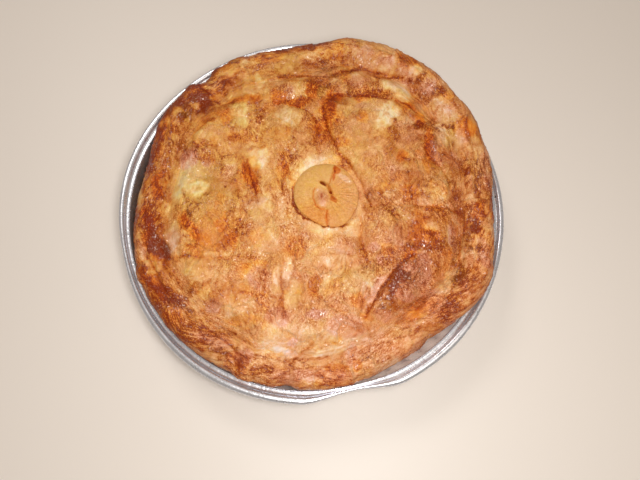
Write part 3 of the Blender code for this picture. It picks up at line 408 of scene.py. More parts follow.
ORANGE = (
    (-74, -19, 13, 5, -56, 1), (-70, -33, 9, 4, -20, 0.5), (-38, 12, 13, 4, -62, 0.8),
    (-36, 22, 6, 7, 0, 0.5), (10, 60, 6, 14, 10, 0.9), (15, 72, 7, 5, 0, 0.9), (0, 75, 5, 8, 0, 1),
    (-10, 67, 11, 4, 10, 0.8), (8, 46, 8, 12, 0, 0.5), (18, 37, 7, 5, 0, 0.5), (-17, 17, 6, 7, 0, 0.55),
    (-10, -33, 8, 9, 0, 0.5), (-60, 57, 15, 7, 0, 0.4), (-44, 70, 14, 6, 0, 0.8), (-22, 71, 6, 6, 0, 0.9),
    (-45, 41, 12, 5, 0, 0.3), (66, -18, 6, 12, 0, 0.5), (70, -27, 11, 7, 0, 0.65),
    (59, -38, 4, 8, -30, 0.8), (60, 3, 8, 5, 0, 0.6), (33, 53, 4, 5, 0, 0.6), (57, 28, 4, 6, 0, 0.7),
    (34, 70, 9, 4, 0, 0.7), (70, 55, 5, 7, 0, 0.9), (75, 38, 4, 14, 0, 0.8), (64, 65, 5, 5, 0, 0.6),
    (72, 22, 3, 8, 0, 0.5), (100, 48, 7, 8, 0, 0.9), (103, -8, 5, 7, 0, 0.4), (82, -38, 4, 10, 0, 0.3),
    (-95, 48, 10, 12, 0, 0.4), (-96, 9, 4, 12, -6, 0.8), (-101, -12, 5, 11, 10, 0.9),
    (-90, -57, 4, 12, 30, 0.6), (-98, -51, 4, 4, 0, 0.6), (47, -33, 5, 5, 0, 0.6),
    (-30, -43, 6, 5, 0, 0.6), (-48, -28, 5, 6, 0, 0.6), (-56, -18, 14, 14, 0, 0.3),
    (-28, 100, 14, 4, 10, 0.5), (-60, 93, 9, 6, 0, 0.4), (8, 103, 9, 5, 0, 0.4), (18, 108, 5, 8, 0, 0.6),
    (22, 85, 5, 6, 0, 0.5), (-12, 84, 5, 4, 0, 0.6), (27, -102, 4, 6, 0, 0.7), (14, -56, 9, 5, 40, 0.3),
    (-66, 26, 8, 4, -20, 0.3), (40, 75, 14, 4, 0, 0.4), (2, -56, 5, 8, 0, 0.5), (62, -70, 14, 5, 40, 0.4),
    (-99, -27, 4, 8, 20, 0.7), (-92, -37, 5, 3, 0, 0.6), (12, 62, 5, 12, 15, 0.9),
    (64, -25, 6, 5, 0, 0.45), (76, -7, 8, 4, 10, 0.5), (28, -66, 6, 5, 0, 0.6), (-66, -28, 8, 5, -20, 0.6),
    (-35, -44, 7, 6, 0, 0.4), (-32, -27, 6, 8, 0, 0.4), (5, -4, 5, 5, 0, 0.4), (96, 52, 5, 6, 0, 0.6),
    (-75, 78, 8, 6, 30, 0.5), (-40, -76, 14, 4, 0, 0.4), (96, 48, 6, 8, 0, 0.6),
    (-99, -14, 4, 12, 10, 0.6), (-76, -16, 9, 4, -50, 0.5), (-65, 55, 12, 8, 0, 0.3),
    (-104, 35, 4, 16, -10, 0.3), (-55, -30, 16, 9, 0, 0.2), (12, 66, 3, 12, -20, 0.6),
    (-102, 36, 16, 4, 101, 0.45), (64, 95, 13, 7, -42, 0.45), (89, 67, 9, 5, -50, 0.35),
    (98, 47, 6, 6, 0, 0.55), (66, 101, 9, 7, -35, 0.5), (52, -90, 12, 5, 20, 0.3),
)  # fmt: skip
# Plum spots are partly the pastry's own rosy brown and partly painted sheen of glossy skin.
PLUM_AND_SHEEN = (
    (57, -52, 17, 9, 55, 0.55), (67, -46, 6, 13, 0, 0.6), (56, -62, 7, 4, 0, 0.6),
    (-93, -30, 6, 12, 24, 0.4), (-80, -65, 10, 5, -40, 0.5), (76, 78, 6, 6, 20, 0.6),
    (-57, 82, 8, 5, 20, 0.4), (-78, 28, 7, 10, 0, 0.8), (-66, 23, 5, 4, 0, 0.7), (-51, 17, 5, 6, 0, 0.4),
    (-38, -97, 7, 5, -20, 0.5), (-56, -88, 14, 5, -20, 0.45), (-57, -68, 7, 6, 0, 0.5),
    (21, -32, 9, 6, 0, 0.35), (5, 86, 6, 3, -20, 0.3), (30, 84, 10, 6, 0, 0.4), (90, -52, 5, 8, 0, 0.3),
    (100, -14, 4, 8, 0, 0.4), (90, 28, 10, 7, -50, 0.3), (-10, -88, 4, 3, 20, 0.6),
    (42, -41, 4, 4, 0, 0.5), (80, 28, 5, 9, 20, 0.5), (96, 42, 4, 7, 0, 0.4), (85, 62, 11, 7, 0, 0.2),
    (62, 91, 7, 4, -30, 0.35), (112, 28, 4, 9, 0, 0.5), (87, -25, 4, 12, 8, 0.6),
    (104, -36, 6, 12, 10, 0.45), (-84, -26, 6, 8, 0, 0.4), (-30, -52, 9, 11, 0, 0.5),
    (-20, -75, 10, 8, 0, 0.6), (3, -73, 7, 5, 0, 0.7), (20, -80, 14, 8, 0, 0.4), (24, -96, 5, 9, 0, 0.3),
    (31, -62, 3, 12, -10, 0.3), (43, -72, 5, 6, 0, 0.45), (-33, -3, 8, 4, 0, 0.3),
    (-101, -33, 4, 7, 10, 0.4), (38, -33, 5, 4, 0, 0.5), (51, -28, 7, 13, -10, 0.3),
    (0, -108, 34, 4, 0, 0.4), (54, -90, 12, 6, 20, 0.2), (45, 62, 8, 9, 0, 0.2), (48, 96, 8, 5, 0, 0.4),
    (8, 109, 9, 5, 0, 0.4), (36, 103, 6, 6, 0, 0.3), (32, 64, 6, 4, 0, 0.4), (56, 36, 4, 7, 0, 0.3),
    (-14, 73, 6, 5, 0, 0.4), (6, 67, 3, 4, 0, 0.5), (-76, 60, 6, 4, 0, 0.4), (82, 44, 6, 10, 0, 0.4),
    (80, -72, 8, 7, 0, 0.4), (26, 12, 5, 9, 30, 0.2), (110, 12, 3, 10, 0, 0.4), (60, 82, 12, 7, 0, 0.3),
    (62, 45, 10, 14, 0, 0.3), (55, 14, 9, 8, 0, 0.3), (38, 0, 6, 8, 0, 0.24), (72, -66, 10, 10, 0, 0.34),
    (108, 24, 4, 9, 0, 0.4), (-12, -52, 14, 7, 0, 0.3), (35, 94, 10, 6, 0, 0.3), (10, 88, 12, 8, 0, 0.3),
    (39, -58, 14, 3, 56, 0.5),
)  # fmt: skip
# Patches where egg wash and fat have left the skin shiny
GLOSS = (
    (56, -51, 20, 12, 55, 1), (66, -36, 10, 12, 0, 0.9), (-91, -27, 8, 16, 20, 1), (76, 77, 7, 6, 0, 1),
    (-73, 20, 18, 10, 0, 0.9), (-66, 22, 8, 5, 0, 1), (-14, 73, 9, 4, 0, 1), (-38, 63, 7, 8, 0, 0.9),
    (50, 60, 10, 8, 0, 0.8), (-80, -66, 10, 8, 0, 0.9), (-58, -66, 9, 7, 0, 0.9),
    (-40, -68, 10, 7, 0, 0.8), (92, 50, 7, 16, 35, 0.9), (80, 32, 6, 8, 0, 0.9), (100, -12, 5, 9, 0, 0.9),
    (50, 2, 14, 5, 0, 0.9), (8, -52, 8, 6, 0, 0.9), (-12, 34, 6, 8, 0, 0.7), (-30, -34, 6, 6, 0, 0.8),
    (4, -73, 7, 7, 0, 0.9), (36, 100, 10, 10, 0, 0.6), (58, -12, 10, 5, -30, 0.8), (-35, -4, 6, 6, 0, 0.8),
    (66, -77, 8, 5, 0, 0.8), (24, -94, 8, 10, 0, 0.5), (-95, 24, 9, 8, 0, 0.8), (-50, 50, 6, 8, 0, 0.7),
    (-75, 71, 6, 6, 0, 0.7), (24, -78, 9, 5, 0, 0.7), (-14, -48, 5, 12, 0, 0.8), (42, -62, 8, 12, 0, 0.8),
    (90, 62, 12, 9, -30, 0.4),
)  # fmt: skip
# Tiny burnt specks: x, y, radius.
SPECKS = ((-53, 6, 0.9), (8, 88, 0.7), (-70, -58, 0.8), (-44, -84, 0.8), (85, 52, 0.9), (91, 49.5, 0.9))

# Rosette, as in the solids; places on it are from its own middle.
ROSETTE_CENTRE = (9.0, 0.2)
# How far out its edge is, every 30 degrees from +X
ROSETTE_OUTLINE = (20.3, 20.2, 21.3, 21.4, 21.4, 20.6, 20.0, 19.0, 18.4, 20.4, 22.0, 20.6)
ROSETTE_EDGE_HEIGHT = 2.6
ROSETTE_CROWN = 1.6
SLIT_ANGLE = 73.0
SEAM_ANGLE = 272.0
SLIT_STEP = 1.9
SEAM_STEP = 0.9
# The curl in the middle: x, y, half width, half length, direction.
CURL = (-2.6, -1.8, 5.0, 7.5, 0.0)
CURL_RISE = 0.9
CREVICE = ((-3.8, 8.0), (-1.9, 7.2), (1.4, 5.6), (2.8, 1.8), (4.6, -2.2), (6.9, -6.2))
CREVICE_DEPTH = 2.6
CREVICE_HALF_WIDTH = 1.6
# The two deep holes in the crevice, listed like spots, then the thin line round the curl and the seam
HOLES = ((-1.9, 7.2, 2.6, 1.1, -28), (2.9, 1.7, 1.5, 1.0, -55))
CURL_EDGE = ((-5.0, 6.0), (-7.4, 2.5), (-7.8, -2.5), (-6.0, -7.5), (-3.0, -9.8), (0.8, -9.5))
SEAM = ((0.8, -9.5), (0.4, -14.0), (0.9, -21.5))
PLEAT_FOCUS = (1.0, 1.5)
ROSETTE_BROWN_ANGLE = 235.0
ROSETTE_BROWN = (
    (5.0, 12.5, 5.0, 1.0, 78, 0.24), (7.0, 16.5, 2.8, 3.4, 0, 0.26), (4.6, -3.6, 3.0, 1.8, -55, 0.24),
    (-2.6, -1.4, 2.4, 1.0, 75, 0.24), (0.6, -15.0, 6.0, 1.6, 90, 0.10),
)  # fmt: skip
# Pale spots on the rosette: the first is a painted sheen on the second petal's upper part.
ROSETTE_PALE_AND_SHEEN = (
    (11.5, 11.0, 6.0, 2.8, -30, 0.26), (-1.8, -6.0, 3.2, 2.4, 0, 0.20), (-5.0, 2.5, 1.2, 1.2, 0, 0.20),
)  # fmt: skip
# How pale the crown is round the rosette, every 30 degrees from +X.
HALO = (0.12, 0.06, 0.06, 0.20, 0.26, 0.22, 0.18, 0.10, 0.14, 0.20, 0.16, 0.12)
HALO_RADIUS = 22.8
HALO_HALF_WIDTH = 4.6

# Crumbs on the ledge: x, y, length.
CRUMBS = ((118.1, 13.2, 1.5), (118.3, 6.4, 1.7), (118.4, 9.6, 0.7), (118.6, -2.5, 0.9))

# How finely the pieces are meshed
CRUST_RINGS = 150
ROLL_RINGS = 18
UNDER_RINGS = 6
SECTORS = 6
ROSETTE_STEPS = 720
ROSETTE_RINGS = 90
PLATE_STEPS = 1200

# Colours from least to most baked: share of the way, and six hexadecimal digits.
BAKED_TONES = (
    (0.00, "FFEACC"), (0.15, "F9D09E"), (0.30, "EFB77A"), (0.45, "E19E5E"),
    (0.60, "D18646"), (0.75, "BF6B2C"), (0.88, "AA5014"), (1.00, "8A3204"),
)  # fmt: skip
TINTED_TONES = {
    "khaki": ((0.00, "FCEAC0"), (0.30, "EDC684"), (0.50, "DEAA62"), (0.75, "BE8038"), (1.00, "80460C")),
    "orange": ((0.00, "FFDC9E"), (0.30, "F6AC58"), (0.50, "E78630"), (0.75, "C65814"), (1.00, "882A04")),
    # The plum tones carry extra blue as painted sheen.
    "plum_and_sheen": ((0.00, "FADAC0"), (0.30, "EAAE8C"), (0.50, "D68A64"), (0.75, "B0603E"), (1.00, "742A14")),
}
# Colours that the tones are multiplied by where there is little gold and where there is much
ROSY = (1.0, 0.97, 1.36, 1.0)
GOLDEN = (1.0, 1.0, 0.66, 1.0)
# What colour the painted glints are: crisp pale specks mixed into the base colour where the skin is shiny
PAINTED_GLINT = (1.0, 0.74, 0.56, 1.0)

# Stage, lights and camera, in metres, degrees and watts. Lights: name, place, aim, size, power, colour.
FLOOR_HALF_WIDTH = 12.0
ROOM_COLOUR = (1.0, 0.88, 0.74, 1.0)
ROOM_STRENGTH = 0.25
LIGHTS = (
    ("ceiling", (0.25, -0.25, 1.3), (0.0, 0.0, 0.0), 0.9, 2.9, (1.0, 0.90, 0.76)),
    ("window", (-0.40, 0.65, 1.00), (0.0, 0.0, 0.03), 0.45, 3.0, (1.0, 0.96, 0.91)),
    ("lamp", (0.040, -0.160, 0.425), (0.0, -0.04, 0.03), 0.10, 0.98, (1.0, 0.99, 0.96)),
)
CAMERA_PLACE = (0.0054, -0.1522, 0.4105)
CAMERA_TILT = 18.81
CAMERA_LENS = 36.0
SENSOR_WIDTH = 36.0
NEAREST_SEEN = 0.01


# ---------------------------------------------------------------- curves and noise


def bell(t):
    """1 at t = 0, falling smoothly to 0 where |t| reaches 1."""
    t = np.clip(np.abs(t), 0.0, 1.0)
    return (1.0 - t * t) ** 2


def ramp(t):
    """0 up to t = 0, rising smoothly to 1 from t = 1 on."""
    t = np.clip(t, 0.0, 1.0)
    return t * t * (3.0 - 2.0 * t)


def hump(t):
    """1 at t = 0, falling smoothly to nearly 0 where |t| reaches 2."""
    return np.exp(-(t**2))


def towards(angle, direction):
    """1 in this direction, 0 square to it, -1 on the far side."""
    return np.cos(angle - math.radians(direction))


def angle_from(angle, centre):
    """The signed angle from centre in degrees, between -180 and 180."""
    return (np.degrees(angle) - centre + 180.0) % 360.0 - 180.0


def round_the_rim(values, angle):
    """A smooth closed curve through values that are evenly spaced round the circle, read at angle."""
    values = np.asarray(values, float)
    place = np.asarray(angle) / math.tau % 1.0 * len(values)
    left = np.floor(place).astype(int)
    t = place - left
    before, start, end, after = (values[(left + k) % len(values)] for k in (-1, 0, 1, 2))
    slope_in, slope_out = (end - before) / 2.0, (after - start) / 2.0
    swing = 3.0 * (end - start) - 2.0 * slope_in - slope_out
    return start + t * (slope_in + t * (swing + t * (slope_in + slope_out - 2.0 * (end - start))))


def noise_places(x, y, z, size, seed):
    """Places to read noise at, for bumps of this size. Each seed has a part of space of its own."""
    shift = Vector([seed * step for step in SEED_STEPS])
    points = np.stack(np.broadcast_arrays(x, y, z), axis=-1).reshape(-1, 3) / size
    return (Vector(point) + shift for point in points)


def roughness(x, y, z, size, seed):
    """Smooth noise between about -1 and 1 at each point, with bumps of this size."""
    made = [noise.noise(place) for place in noise_places(x, y, z, size, seed)]
    return np.array(made).reshape(np.shape(x))


def ridges(x, y, z, size, seed):
    """Noise with sharp crests: 1 on a crest, down to about -1 between them."""
    return 1.0 - 2.4 * np.abs(roughness(x, y, z, size, seed))


def cells(x, y, z, size, seed):
    """Distance to the nearest of scattered points, in shares of their usual spacing."""
    made = [noise.voronoi(place)[0][0] for place in noise_places(x, y, z, size, seed)]
    return np.array(made).reshape(np.shape(x))


def layered(kind, x, y, z, layers):
    """Noise of one kind added up from layers, which each have a height, a size of bump and a seed."""
    return sum(height * kind(x, y, z, size, seed) for height, size, seed in layers)


def round_noise(angle, size, seed):
    """Smooth noise round a circle, with bumps of this share of its radius."""
    return roughness(np.cos(angle), np.sin(angle), 0.0 * angle, size, seed)


def warped(x, y, bends):
    """Points moved about by each bend in turn, so that what is drawn on them has uneven edges."""
    flat = np.zeros_like(x)
    for size, reach, seed in bends:
        x_shift, y_shift = (roughness(x, y, flat, size, seed + k) for k in (0, 1))
        x, y = x + reach * x_shift, y + reach * y_shift
    return x, y


def sheets(x, y, size, direction, spread, seed):
    """Irregular flat sheets of dough, whose grains differ from direction by up to spread. For each point:
    its sheet's tone and hue from -1 to 1, its height as the sheet tilts, how far the sheet's edge is, and
    its place along and across the grain."""
    made = np.empty((len(x), MARKS))
    shift = SHEET_SEED_STEP * seed
    for k, (px, py, way) in enumerate(zip(x / size + shift, y / size, direction)):
        (near, after, *_), (middle, *_) = noise.voronoi(Vector((px, py, shift)))
        tone, hue, tilt = noise.cell_vector(middle * SHEET_SCATTER)
        turn = math.tau * tilt
        dx, dy = px - middle.x, py - middle.y
        lean = dx * math.cos(turn) + dy * math.sin(turn)
        grain = way + spread * (2.0 * hue - 1.0)
        along = size * (dx * math.cos(grain) + dy * math.sin(grain)) + SHEET_GRAIN_SHIFT * tone
        across = size * (dy * math.cos(grain) - dx * math.sin(grain))
        made[k] = 2.0 * tone - 1.0, 2.0 * hue - 1.0, lean, after - near, along, across
    return made.T


# ---------------------------------------------------------------- shape of the pie


def ellipse(x, y, spot):
    """Distance from a spot's middle, 1 at its edge."""
    middle_x, middle_y, half_length, half_width, direction = spot[:5]
    turn = math.radians(direction)
    dx, dy = x - middle_x, y - middle_y
    along = (dx * math.cos(turn) + dy * math.sin(turn)) / half_length
    across = (dy * math.cos(turn) - dx * math.sin(turn)) / half_width
    return np.hypot(along, across)


def from_rosette(x, y):
    """Distance from the middle of the rosette."""
    return np.hypot(x - ROSETTE_CENTRE[0], y - ROSETTE_CENTRE[1])


def outline_radius(angle):
    """How far out the border reaches, with its crags."""
    radius = round_the_rim(OUTLINE, angle) + 0.7 * round_noise(angle, 0.09, 1)
    for direction, half_width, depth in CRAGS:
        radius = radius - depth * bell(angle_from(angle, direction) / half_width)
    return radius + 0.25 * round_noise(angle, 0.02, 3)


def blisters(x, y):
    """Height of the blisters; where two meet, the higher one counts."""
    height = np.zeros_like(x)
    for spot in BLISTERS:
        height = np.maximum(height, spot[5] * bell(ellipse(x, y, spot)) ** 0.6)
    return height


def fold_path(start, end, bend):
    """Points along a fold, which bows to its left by bend."""
    start, end = np.array(start, float), np.array(end, float)
    left = np.array((start[1] - end[1], end[0] - start[0])) / np.hypot(*(end - start))
    share = np.linspace(0.0, 1.0, FOLD_POINTS)[:, None]
    return start + share * (end - start) + left * bend * 4.0 * share * (1.0 - share)


def from_path(x, y, path):
    """Signed distance to a path, positive on its right, and how far along it that is, from 0 to 1."""
    nearest = np.full(np.shape(x), np.inf)
    side, place = np.zeros_like(x), np.zeros_like(x)
    for number, (a, b) in enumerate(zip(path[:-1], path[1:])):
        run = b - a
        share = np.clip(((x - a[0]) * run[0] + (y - a[1]) * run[1]) / (run @ run), 0.0, 1.0)
        dx, dy = x - a[0] - share * run[0], y - a[1] - share * run[1]
        away = np.hypot(dx, dy)
        closer = away < nearest
        nearest = np.where(closer, away, nearest)
        side = np.where(closer, np.sign(dx * run[1] - dy * run[0]), side)
        place = np.where(closer, (number + share) / (len(path) - 1), place)
    return nearest * side, place


def folds(x, y, table, reach):
    """Creases and overlapping flaps: height; how far a point is darkened in a crease, partly as browning
    and partly as painted shade; and how pale on a flap's lip, a painted highlight.
    """
    height, dark, lip = np.zeros_like(x), np.zeros_like(x), np.zeros_like(x)
    for x0, y0, x1, y1, bend, depth, step in table:
        path = fold_path((x0, y0), (x1, y1), bend)
        low, high = path.min(axis=0) - 3.0 * reach, path.max(axis=0) + 3.0 * reach
        near = (x > low[0]) & (x < high[0]) & (y > low[1]) & (y < high[1])
        gap, place = from_path(x[near], y[near], path)
        upper_side = np.sign(step)
        ends = np.sqrt(np.clip(np.sin(math.pi * place), 0.0, 1.0))
        blunt_ends = ramp(3.0 * ends)
        wide = hump(gap / CREASE_HALF_WIDTH) * blunt_ends
        narrow = hump(gap / LINE_HALF_WIDTH) * blunt_ends
        flap = np.tanh(gap / STEP_HALF_WIDTH) * hump(gap / reach) * ends
        height[near] += 0.5 * step * flap - depth * (0.40 * wide + 0.30 * narrow)
        # The darkening at a step's foot and in the crease is partly browning and partly painted shade.
        foot = hump((gap + upper_side * FOOT_AT) / LINE_HALF_WIDTH) * blunt_ends
        foot = (0.7 * foot + 0.3 * wide) * min(1.0, 0.25 * (depth + 0.5 * abs(step)))
        dark[near] = np.maximum(dark[near], foot)
        # A painted highlight along the raised lip of each flap.
        crest = hump((gap - upper_side * LIP_AT) / LIP_HALF_WIDTH) * ends
        lip[near] = np.maximum(lip[near], crest * min(1.0, 0.5 * abs(step)))
    return height, dark, lip


def wrinkles(x, y):
    """Height of the packets of small parallel wrinkles."""
    height = np.zeros_like(x)
    for spot in WRINKLES:
        middle_x, middle_y, _, _, direction, spacing, rise = spot
        turn = math.radians(direction)
        across = (y - middle_y) * math.cos(turn) - (x - middle_x) * math.sin(turn)
        height += rise * np.cos(math.tau * across / spacing) * bell(ellipse(x, y, spot))
    return height


def on_border(share):
    """0 inside the groove, 1 on the border."""
    return ramp((share - GROOVE_AT + 0.02) / 0.06)


def pleated(angle):
    """1 where the border's wrinkles run across it, 0 where they run round it."""
    return ramp(1.6 * bell(angle_from(angle, PLEATED_ANGLE) / PLEATED_HALF_ANGLE))


def sheet_place(x, y, share, angle):
    """Where sheets are drawn: long up and down the crown, and long round the border."""
    border = on_border(share)
    sheet_x = x * SHEETS_ON_CROWN[0] * (1.0 - border) + angle * SHEETS_ON_BORDER[0] * border
    sheet_y = y * SHEETS_ON_CROWN[1] * (1.0 - border) + share * SHEETS_ON_BORDER[1] * border
    return sheet_x, sheet_y


def crown(x, y, share, angle):
    """Height of the top crust, then its six marks. share is the radius as a share of the outline's."""
    flat = np.zeros_like(x)
    border, pleats = on_border(share), pleated(angle)
    dome = CROWN_HEIGHT - CROWN_FALL * share**CROWN_POWER
    shifted = bell(angle_from(angle, GROOVE_SHIFT_ANGLE) / GROOVE_SHIFT_HALF_ANGLE)
    groove = GROOVE_DEPTH * bell((share - GROOVE_AT - GROOVE_SHIFT * shifted) / GROOVE_HALF_WIDTH)
    rise = BORDER_HEIGHT + round_the_rim(BORDER_RISE, angle)
    rim = rise * bell((share - BORDER_AT) / BORDER_HALF_WIDTH)
    bent_x, bent_y = warped(x, y, FOLD_BENDS)
    big, big_dark, big_lip_highlight = folds(bent_x, bent_y, FOLDS, FLAP_REACH)
    small, small_dark, small_lip_highlight = folds(bent_x, bent_y, FINE_FOLDS, FINE_FLAP_REACH)
    crumple = 0.7 * roughness(x, y, flat, 11.0, 2)
    facets = layered(ridges, bent_x, bent_y, flat, ((0.40, 13.0, 21), (0.34, 6.5, 22)))
    lengthwise = BORDER_RADIUS * angle
    rolled = 0.50 * (1.0 - pleats) * ridges(lengthwise / 1.7, share * BORDER_RADIUS, flat, 4.6, 23)
    rolled += 0.45 * pleats * ridges(lengthwise, share * 30.0, flat, 4.2, 24)
    height = dome - groove + rim + blisters(x, y) + big + small + crumple + facets + rolled * border
    height += wrinkles(bent_x, bent_y)
    upright = 0.5 * math.pi * (1.0 - border * (1.0 - pleats))
    sheets_at = sheet_place(bent_x, bent_y, share, angle)
    big_tone, big_hue, big_lean, big_gap, along, across = sheets(*sheets_at, BIG_SHEET, upright, 1.0, 81)
    tone, hue, lean, gap, _, _ = sheets(*sheets_at, SMALL_SHEET, upright, 0.6, 82)
    gathered = 1.0 - 0.7 * border * pleats
    height += (0.8 * big_lean + 0.3 * lean) * gathered
    off_seat = ramp((from_rosette(x, y) - SEAT_RADIUS + 2.0) / SEAT_BLEND)
    height = SEAT_HEIGHT + (height - SEAT_HEIGHT) * off_seat
    # Crease darkening, partly browning and partly painted shade.
    dark = np.maximum(big_dark, 0.8 * small_dark) * off_seat
    tone = (0.6 * big_tone + 0.4 * tone) * gathered
    hue = 0.6 * big_hue + 0.4 * hue
    # Pale lines at the sheets' edges, and painted highlights along the flaps' lips.
    edges = np.maximum(0.6 * bell(big_gap / 0.07), 0.5 * bell(gap / 0.12))
    edges = edges * ramp(0.5 + 1.5 * roughness(x, y, flat, 9.0, 25))
    edges = np.maximum(edges, np.maximum(big_lip_highlight, small_lip_highlight))
    return height, dark, tone, hue, edges, along, across


def underside_height(outline, angle):
    """The border lies on the rim where it reaches that far, and sinks into the plate where it doesn't."""
    resting = ramp((outline - SUNK_RADIUS) / (RESTING_RADIUS - SUNK_RADIUS))
    lifted = 0.5 * np.clip(round_the_rim(BORDER_RISE, angle), 0.0, None)
    return SUNK_UNDERSIDE_HEIGHT + (UNDERSIDE_HEIGHT + lifted - SUNK_UNDERSIDE_HEIGHT) * resting


def dent(angle):
    """1 in the middle of the rim's dent, 0 away from it."""
    return bell(angle_from(angle, DENT_ANGLE) / DENT_HALF_ANGLE)


def wall_radius(height):
    """Mean inner radius of the plate's wall, with the rounded corner at its foot."""
    slope = (WALL_TOP_RADIUS - BASE_RADIUS) / LEDGE_HEIGHT
    corner = BASE_CORNER * (1.0 - np.sqrt(1.0 - (1.0 - np.clip(height / BASE_CORNER, 0.0, 1.0)) ** 2))
    return BASE_RADIUS + slope * height - corner


def wall_dent(height, angle):
    """How far the wall is pushed in below the rim's dent."""
    return WALL_DENT * dent(angle) * np.clip(height / LEDGE_HEIGHT, 0.0, 1.0) ** 2


# ---------------------------------------------------------------- meshes


def linked(name, data):
    """A new object in the scene."""
    made = bpy.data.objects.new(name, data)
    bpy.context.scene.collection.objects.link(made)
    return made


def ring_angles(count):
    """Even angles round the circle, from +X."""
    return np.arange(count) * (math.tau / count)


def ring_points(radius, angle, height):
    """Points round the middle of the plate."""
    return np.stack(np.broadcast_arrays(radius * np.cos(angle), radius * np.sin(angle), height), axis=-1)


def stitch(inner, outer):
    """Triangles between two rings of vertex numbers, where the outer one has as many or SECTORS more."""
    faces = []
    if len(inner) == len(outer):
        for k in range(len(inner)):
            after = (k + 1) % len(inner)
            faces += [(inner[k], outer[k], outer[after]), (inner[k], outer[after], inner[after])]
        return faces
    per_sector = len(inner) // SECTORS
    for k in range(len(inner)):
        out = k + k // per_sector
        after = inner[(k + 1) % len(inner)]
        faces += [(inner[k], outer[out], outer[out + 1]), (inner[k], outer[out + 1], after)]
        if (k + 1) % per_sector == 0:
            faces.append((after, outer[out + 1], outer[(out + 2) % len(outer)]))
    return faces


def mesh_of_rings(name, first, rings, last, material):
    """A closed smooth object from a point, rings that grow or keep their count, and a point."""
    numbers, start = [], 1
    for ring in rings:
        numbers.append(range(start, start + len(ring)))
        start += len(ring)
    top, bottom = numbers[0], numbers[-1]
    faces = [(0, top[k], top[(k + 1) % len(top)]) for k in range(len(top))]
    for inner, outer in zip(numbers[:-1], numbers[1:]):
        faces += stitch(inner, outer)
    faces += [(start, bottom[(k + 1) % len(bottom)], bottom[k]) for k in range(len(bottom))]
    points = np.vstack([[first], *rings, [last]])
    mesh = bpy.data.meshes.new(name)
    mesh.from_pydata(points * MM, [], faces)
    mesh.materials.append(material)
    mesh.shade_smooth()
    return linked(name, mesh), points


def set_values(made, **named):
    """Stores numbers for each vertex, which the material reads by name."""
    for name, values in named.items():
        layer = made.data.attributes.new(name, "FLOAT", "POINT")
        layer.data.foreach_set("value", np.asarray(values, np.float32))


def push_out(made, points, amount, box):
    """Moves each vertex along its normal, but not outside the box of the solid that it stands for."""
    normals = np.empty(3 * len(points), np.float32)
    made.data.vertices.foreach_get("normal", normals)
    moved = points * MM + normals.reshape(-1, 3) * np.asarray(amount)[:, None] * MM
    lowest, highest = (np.array(corner - made.location) for corner in box)
    moved = np.clip(moved, lowest, highest)
    made.data.vertices.foreach_set("co", moved.astype(np.float32).ravel())
    made.data.update()


# ---------------------------------------------------------------- pie


def marks_beyond(edge_marks, share, distance):
    """Marks past the border's edge: this share of the edge's own, this much further across the grain."""
    marks = edge_marks * np.array((share, share, share, share, 1.0, 1.0))
    marks[:, 5] += distance
    return marks


def crust_rings():
    """Rings over the crown and the border, under it and down into the plate, with each point's marks."""
    rings = []
    for k in range(1, CRUST_RINGS + 1):
        angle = ring_angles(SECTORS * k)
        outline = outline_radius(angle)
        radius = k / CRUST_RINGS * (outline - BORDER_ROUND)
        rings.append((radius, angle, outline))
    sizes = np.cumsum([len(ring[0]) for ring in rings])[:-1]
    radius, angle, outline = (np.concatenate(part) for part in zip(*rings))
    height, *marks = crown(radius * np.cos(angle), radius * np.sin(angle), radius / outline, angle)
    points = np.split(ring_points(radius, angle, height), sizes)
    marks = np.split(np.array(marks).T, sizes)

    angle = ring_angles(SECTORS * CRUST_RINGS)
    outline = outline_radius(angle)
    underside = underside_height(outline, angle)
    widest = underside + BORDER_THICKNESS
    top, edge_marks = points[-1][:, 2], marks[-1]
    for k in range(1, ROLL_RINGS + 1):
        turn = k / ROLL_RINGS * math.pi / 2.0
        radius = outline - BORDER_ROUND * (1.0 - math.sin(turn))
        points.append(ring_points(radius, angle, widest + (top - widest) * math.cos(turn)))
        marks.append(marks_beyond(edge_marks, math.cos(turn) ** 0.5, BORDER_ROUND * turn))
    for k in range(1, UNDER_RINGS + 1):
        turn = k / UNDER_RINGS * math.pi / 2.0
        radius = outline - TUCK * (1.0 - math.cos(turn))
        points.append(ring_points(radius, angle, widest - BORDER_THICKNESS * math.sin(turn)))
        marks.append(marks_beyond(edge_marks, 0.0, 1.6 * BORDER_ROUND + BORDER_THICKNESS * turn))
    points.append(ring_points(np.minimum(outline - TUCK, NECK_RADIUS), angle, underside - NECK_DROP))
    inside = 0.5 * FLUTE_DEPTH + 2.0 * GAP
    for height in FILLING_HEIGHTS:
        wall = wall_radius(height) - wall_dent(height, angle) - inside
        points.append(ring_points(np.minimum(outline - TUCK, wall), angle, height))
    points.append(ring_points(BASE_RADIUS - BASE_CORNER - inside, angle, FOIL + GAP))
    for ring in points[len(marks) :]:
        marks.append(marks_beyond(edge_marks, 0.0, 60.0 - ring[:, 2]))
    return points, marks


def grain_lines(along, across):
    """Fine wrinkles along the dough's grain, at two sizes: 1 on a crest, 0 between them."""
    along, across = warped(along, across, GRAIN_BENDS)
    place = (along / GRAIN_STRETCH, across, 0.0 * along)
    big = np.clip(ridges(*place, 4.2, 46), 0.0, 1.0) ** 2
    small = np.clip(ridges(*place, 2.2, 48), 0.0, 1.0) ** 2
    return big, small


def paint(x, y, spots, add=False):
    """Lays a table's spots over each other, adding them up or keeping the strongest."""
    made = np.zeros_like(x)
    for spot in spots:
        cover = spot[5] * ramp(SPOT_SHARPNESS * (1.0 - ellipse(x, y, spot)))
        made = made + cover if add else np.maximum(made, cover)
    return made


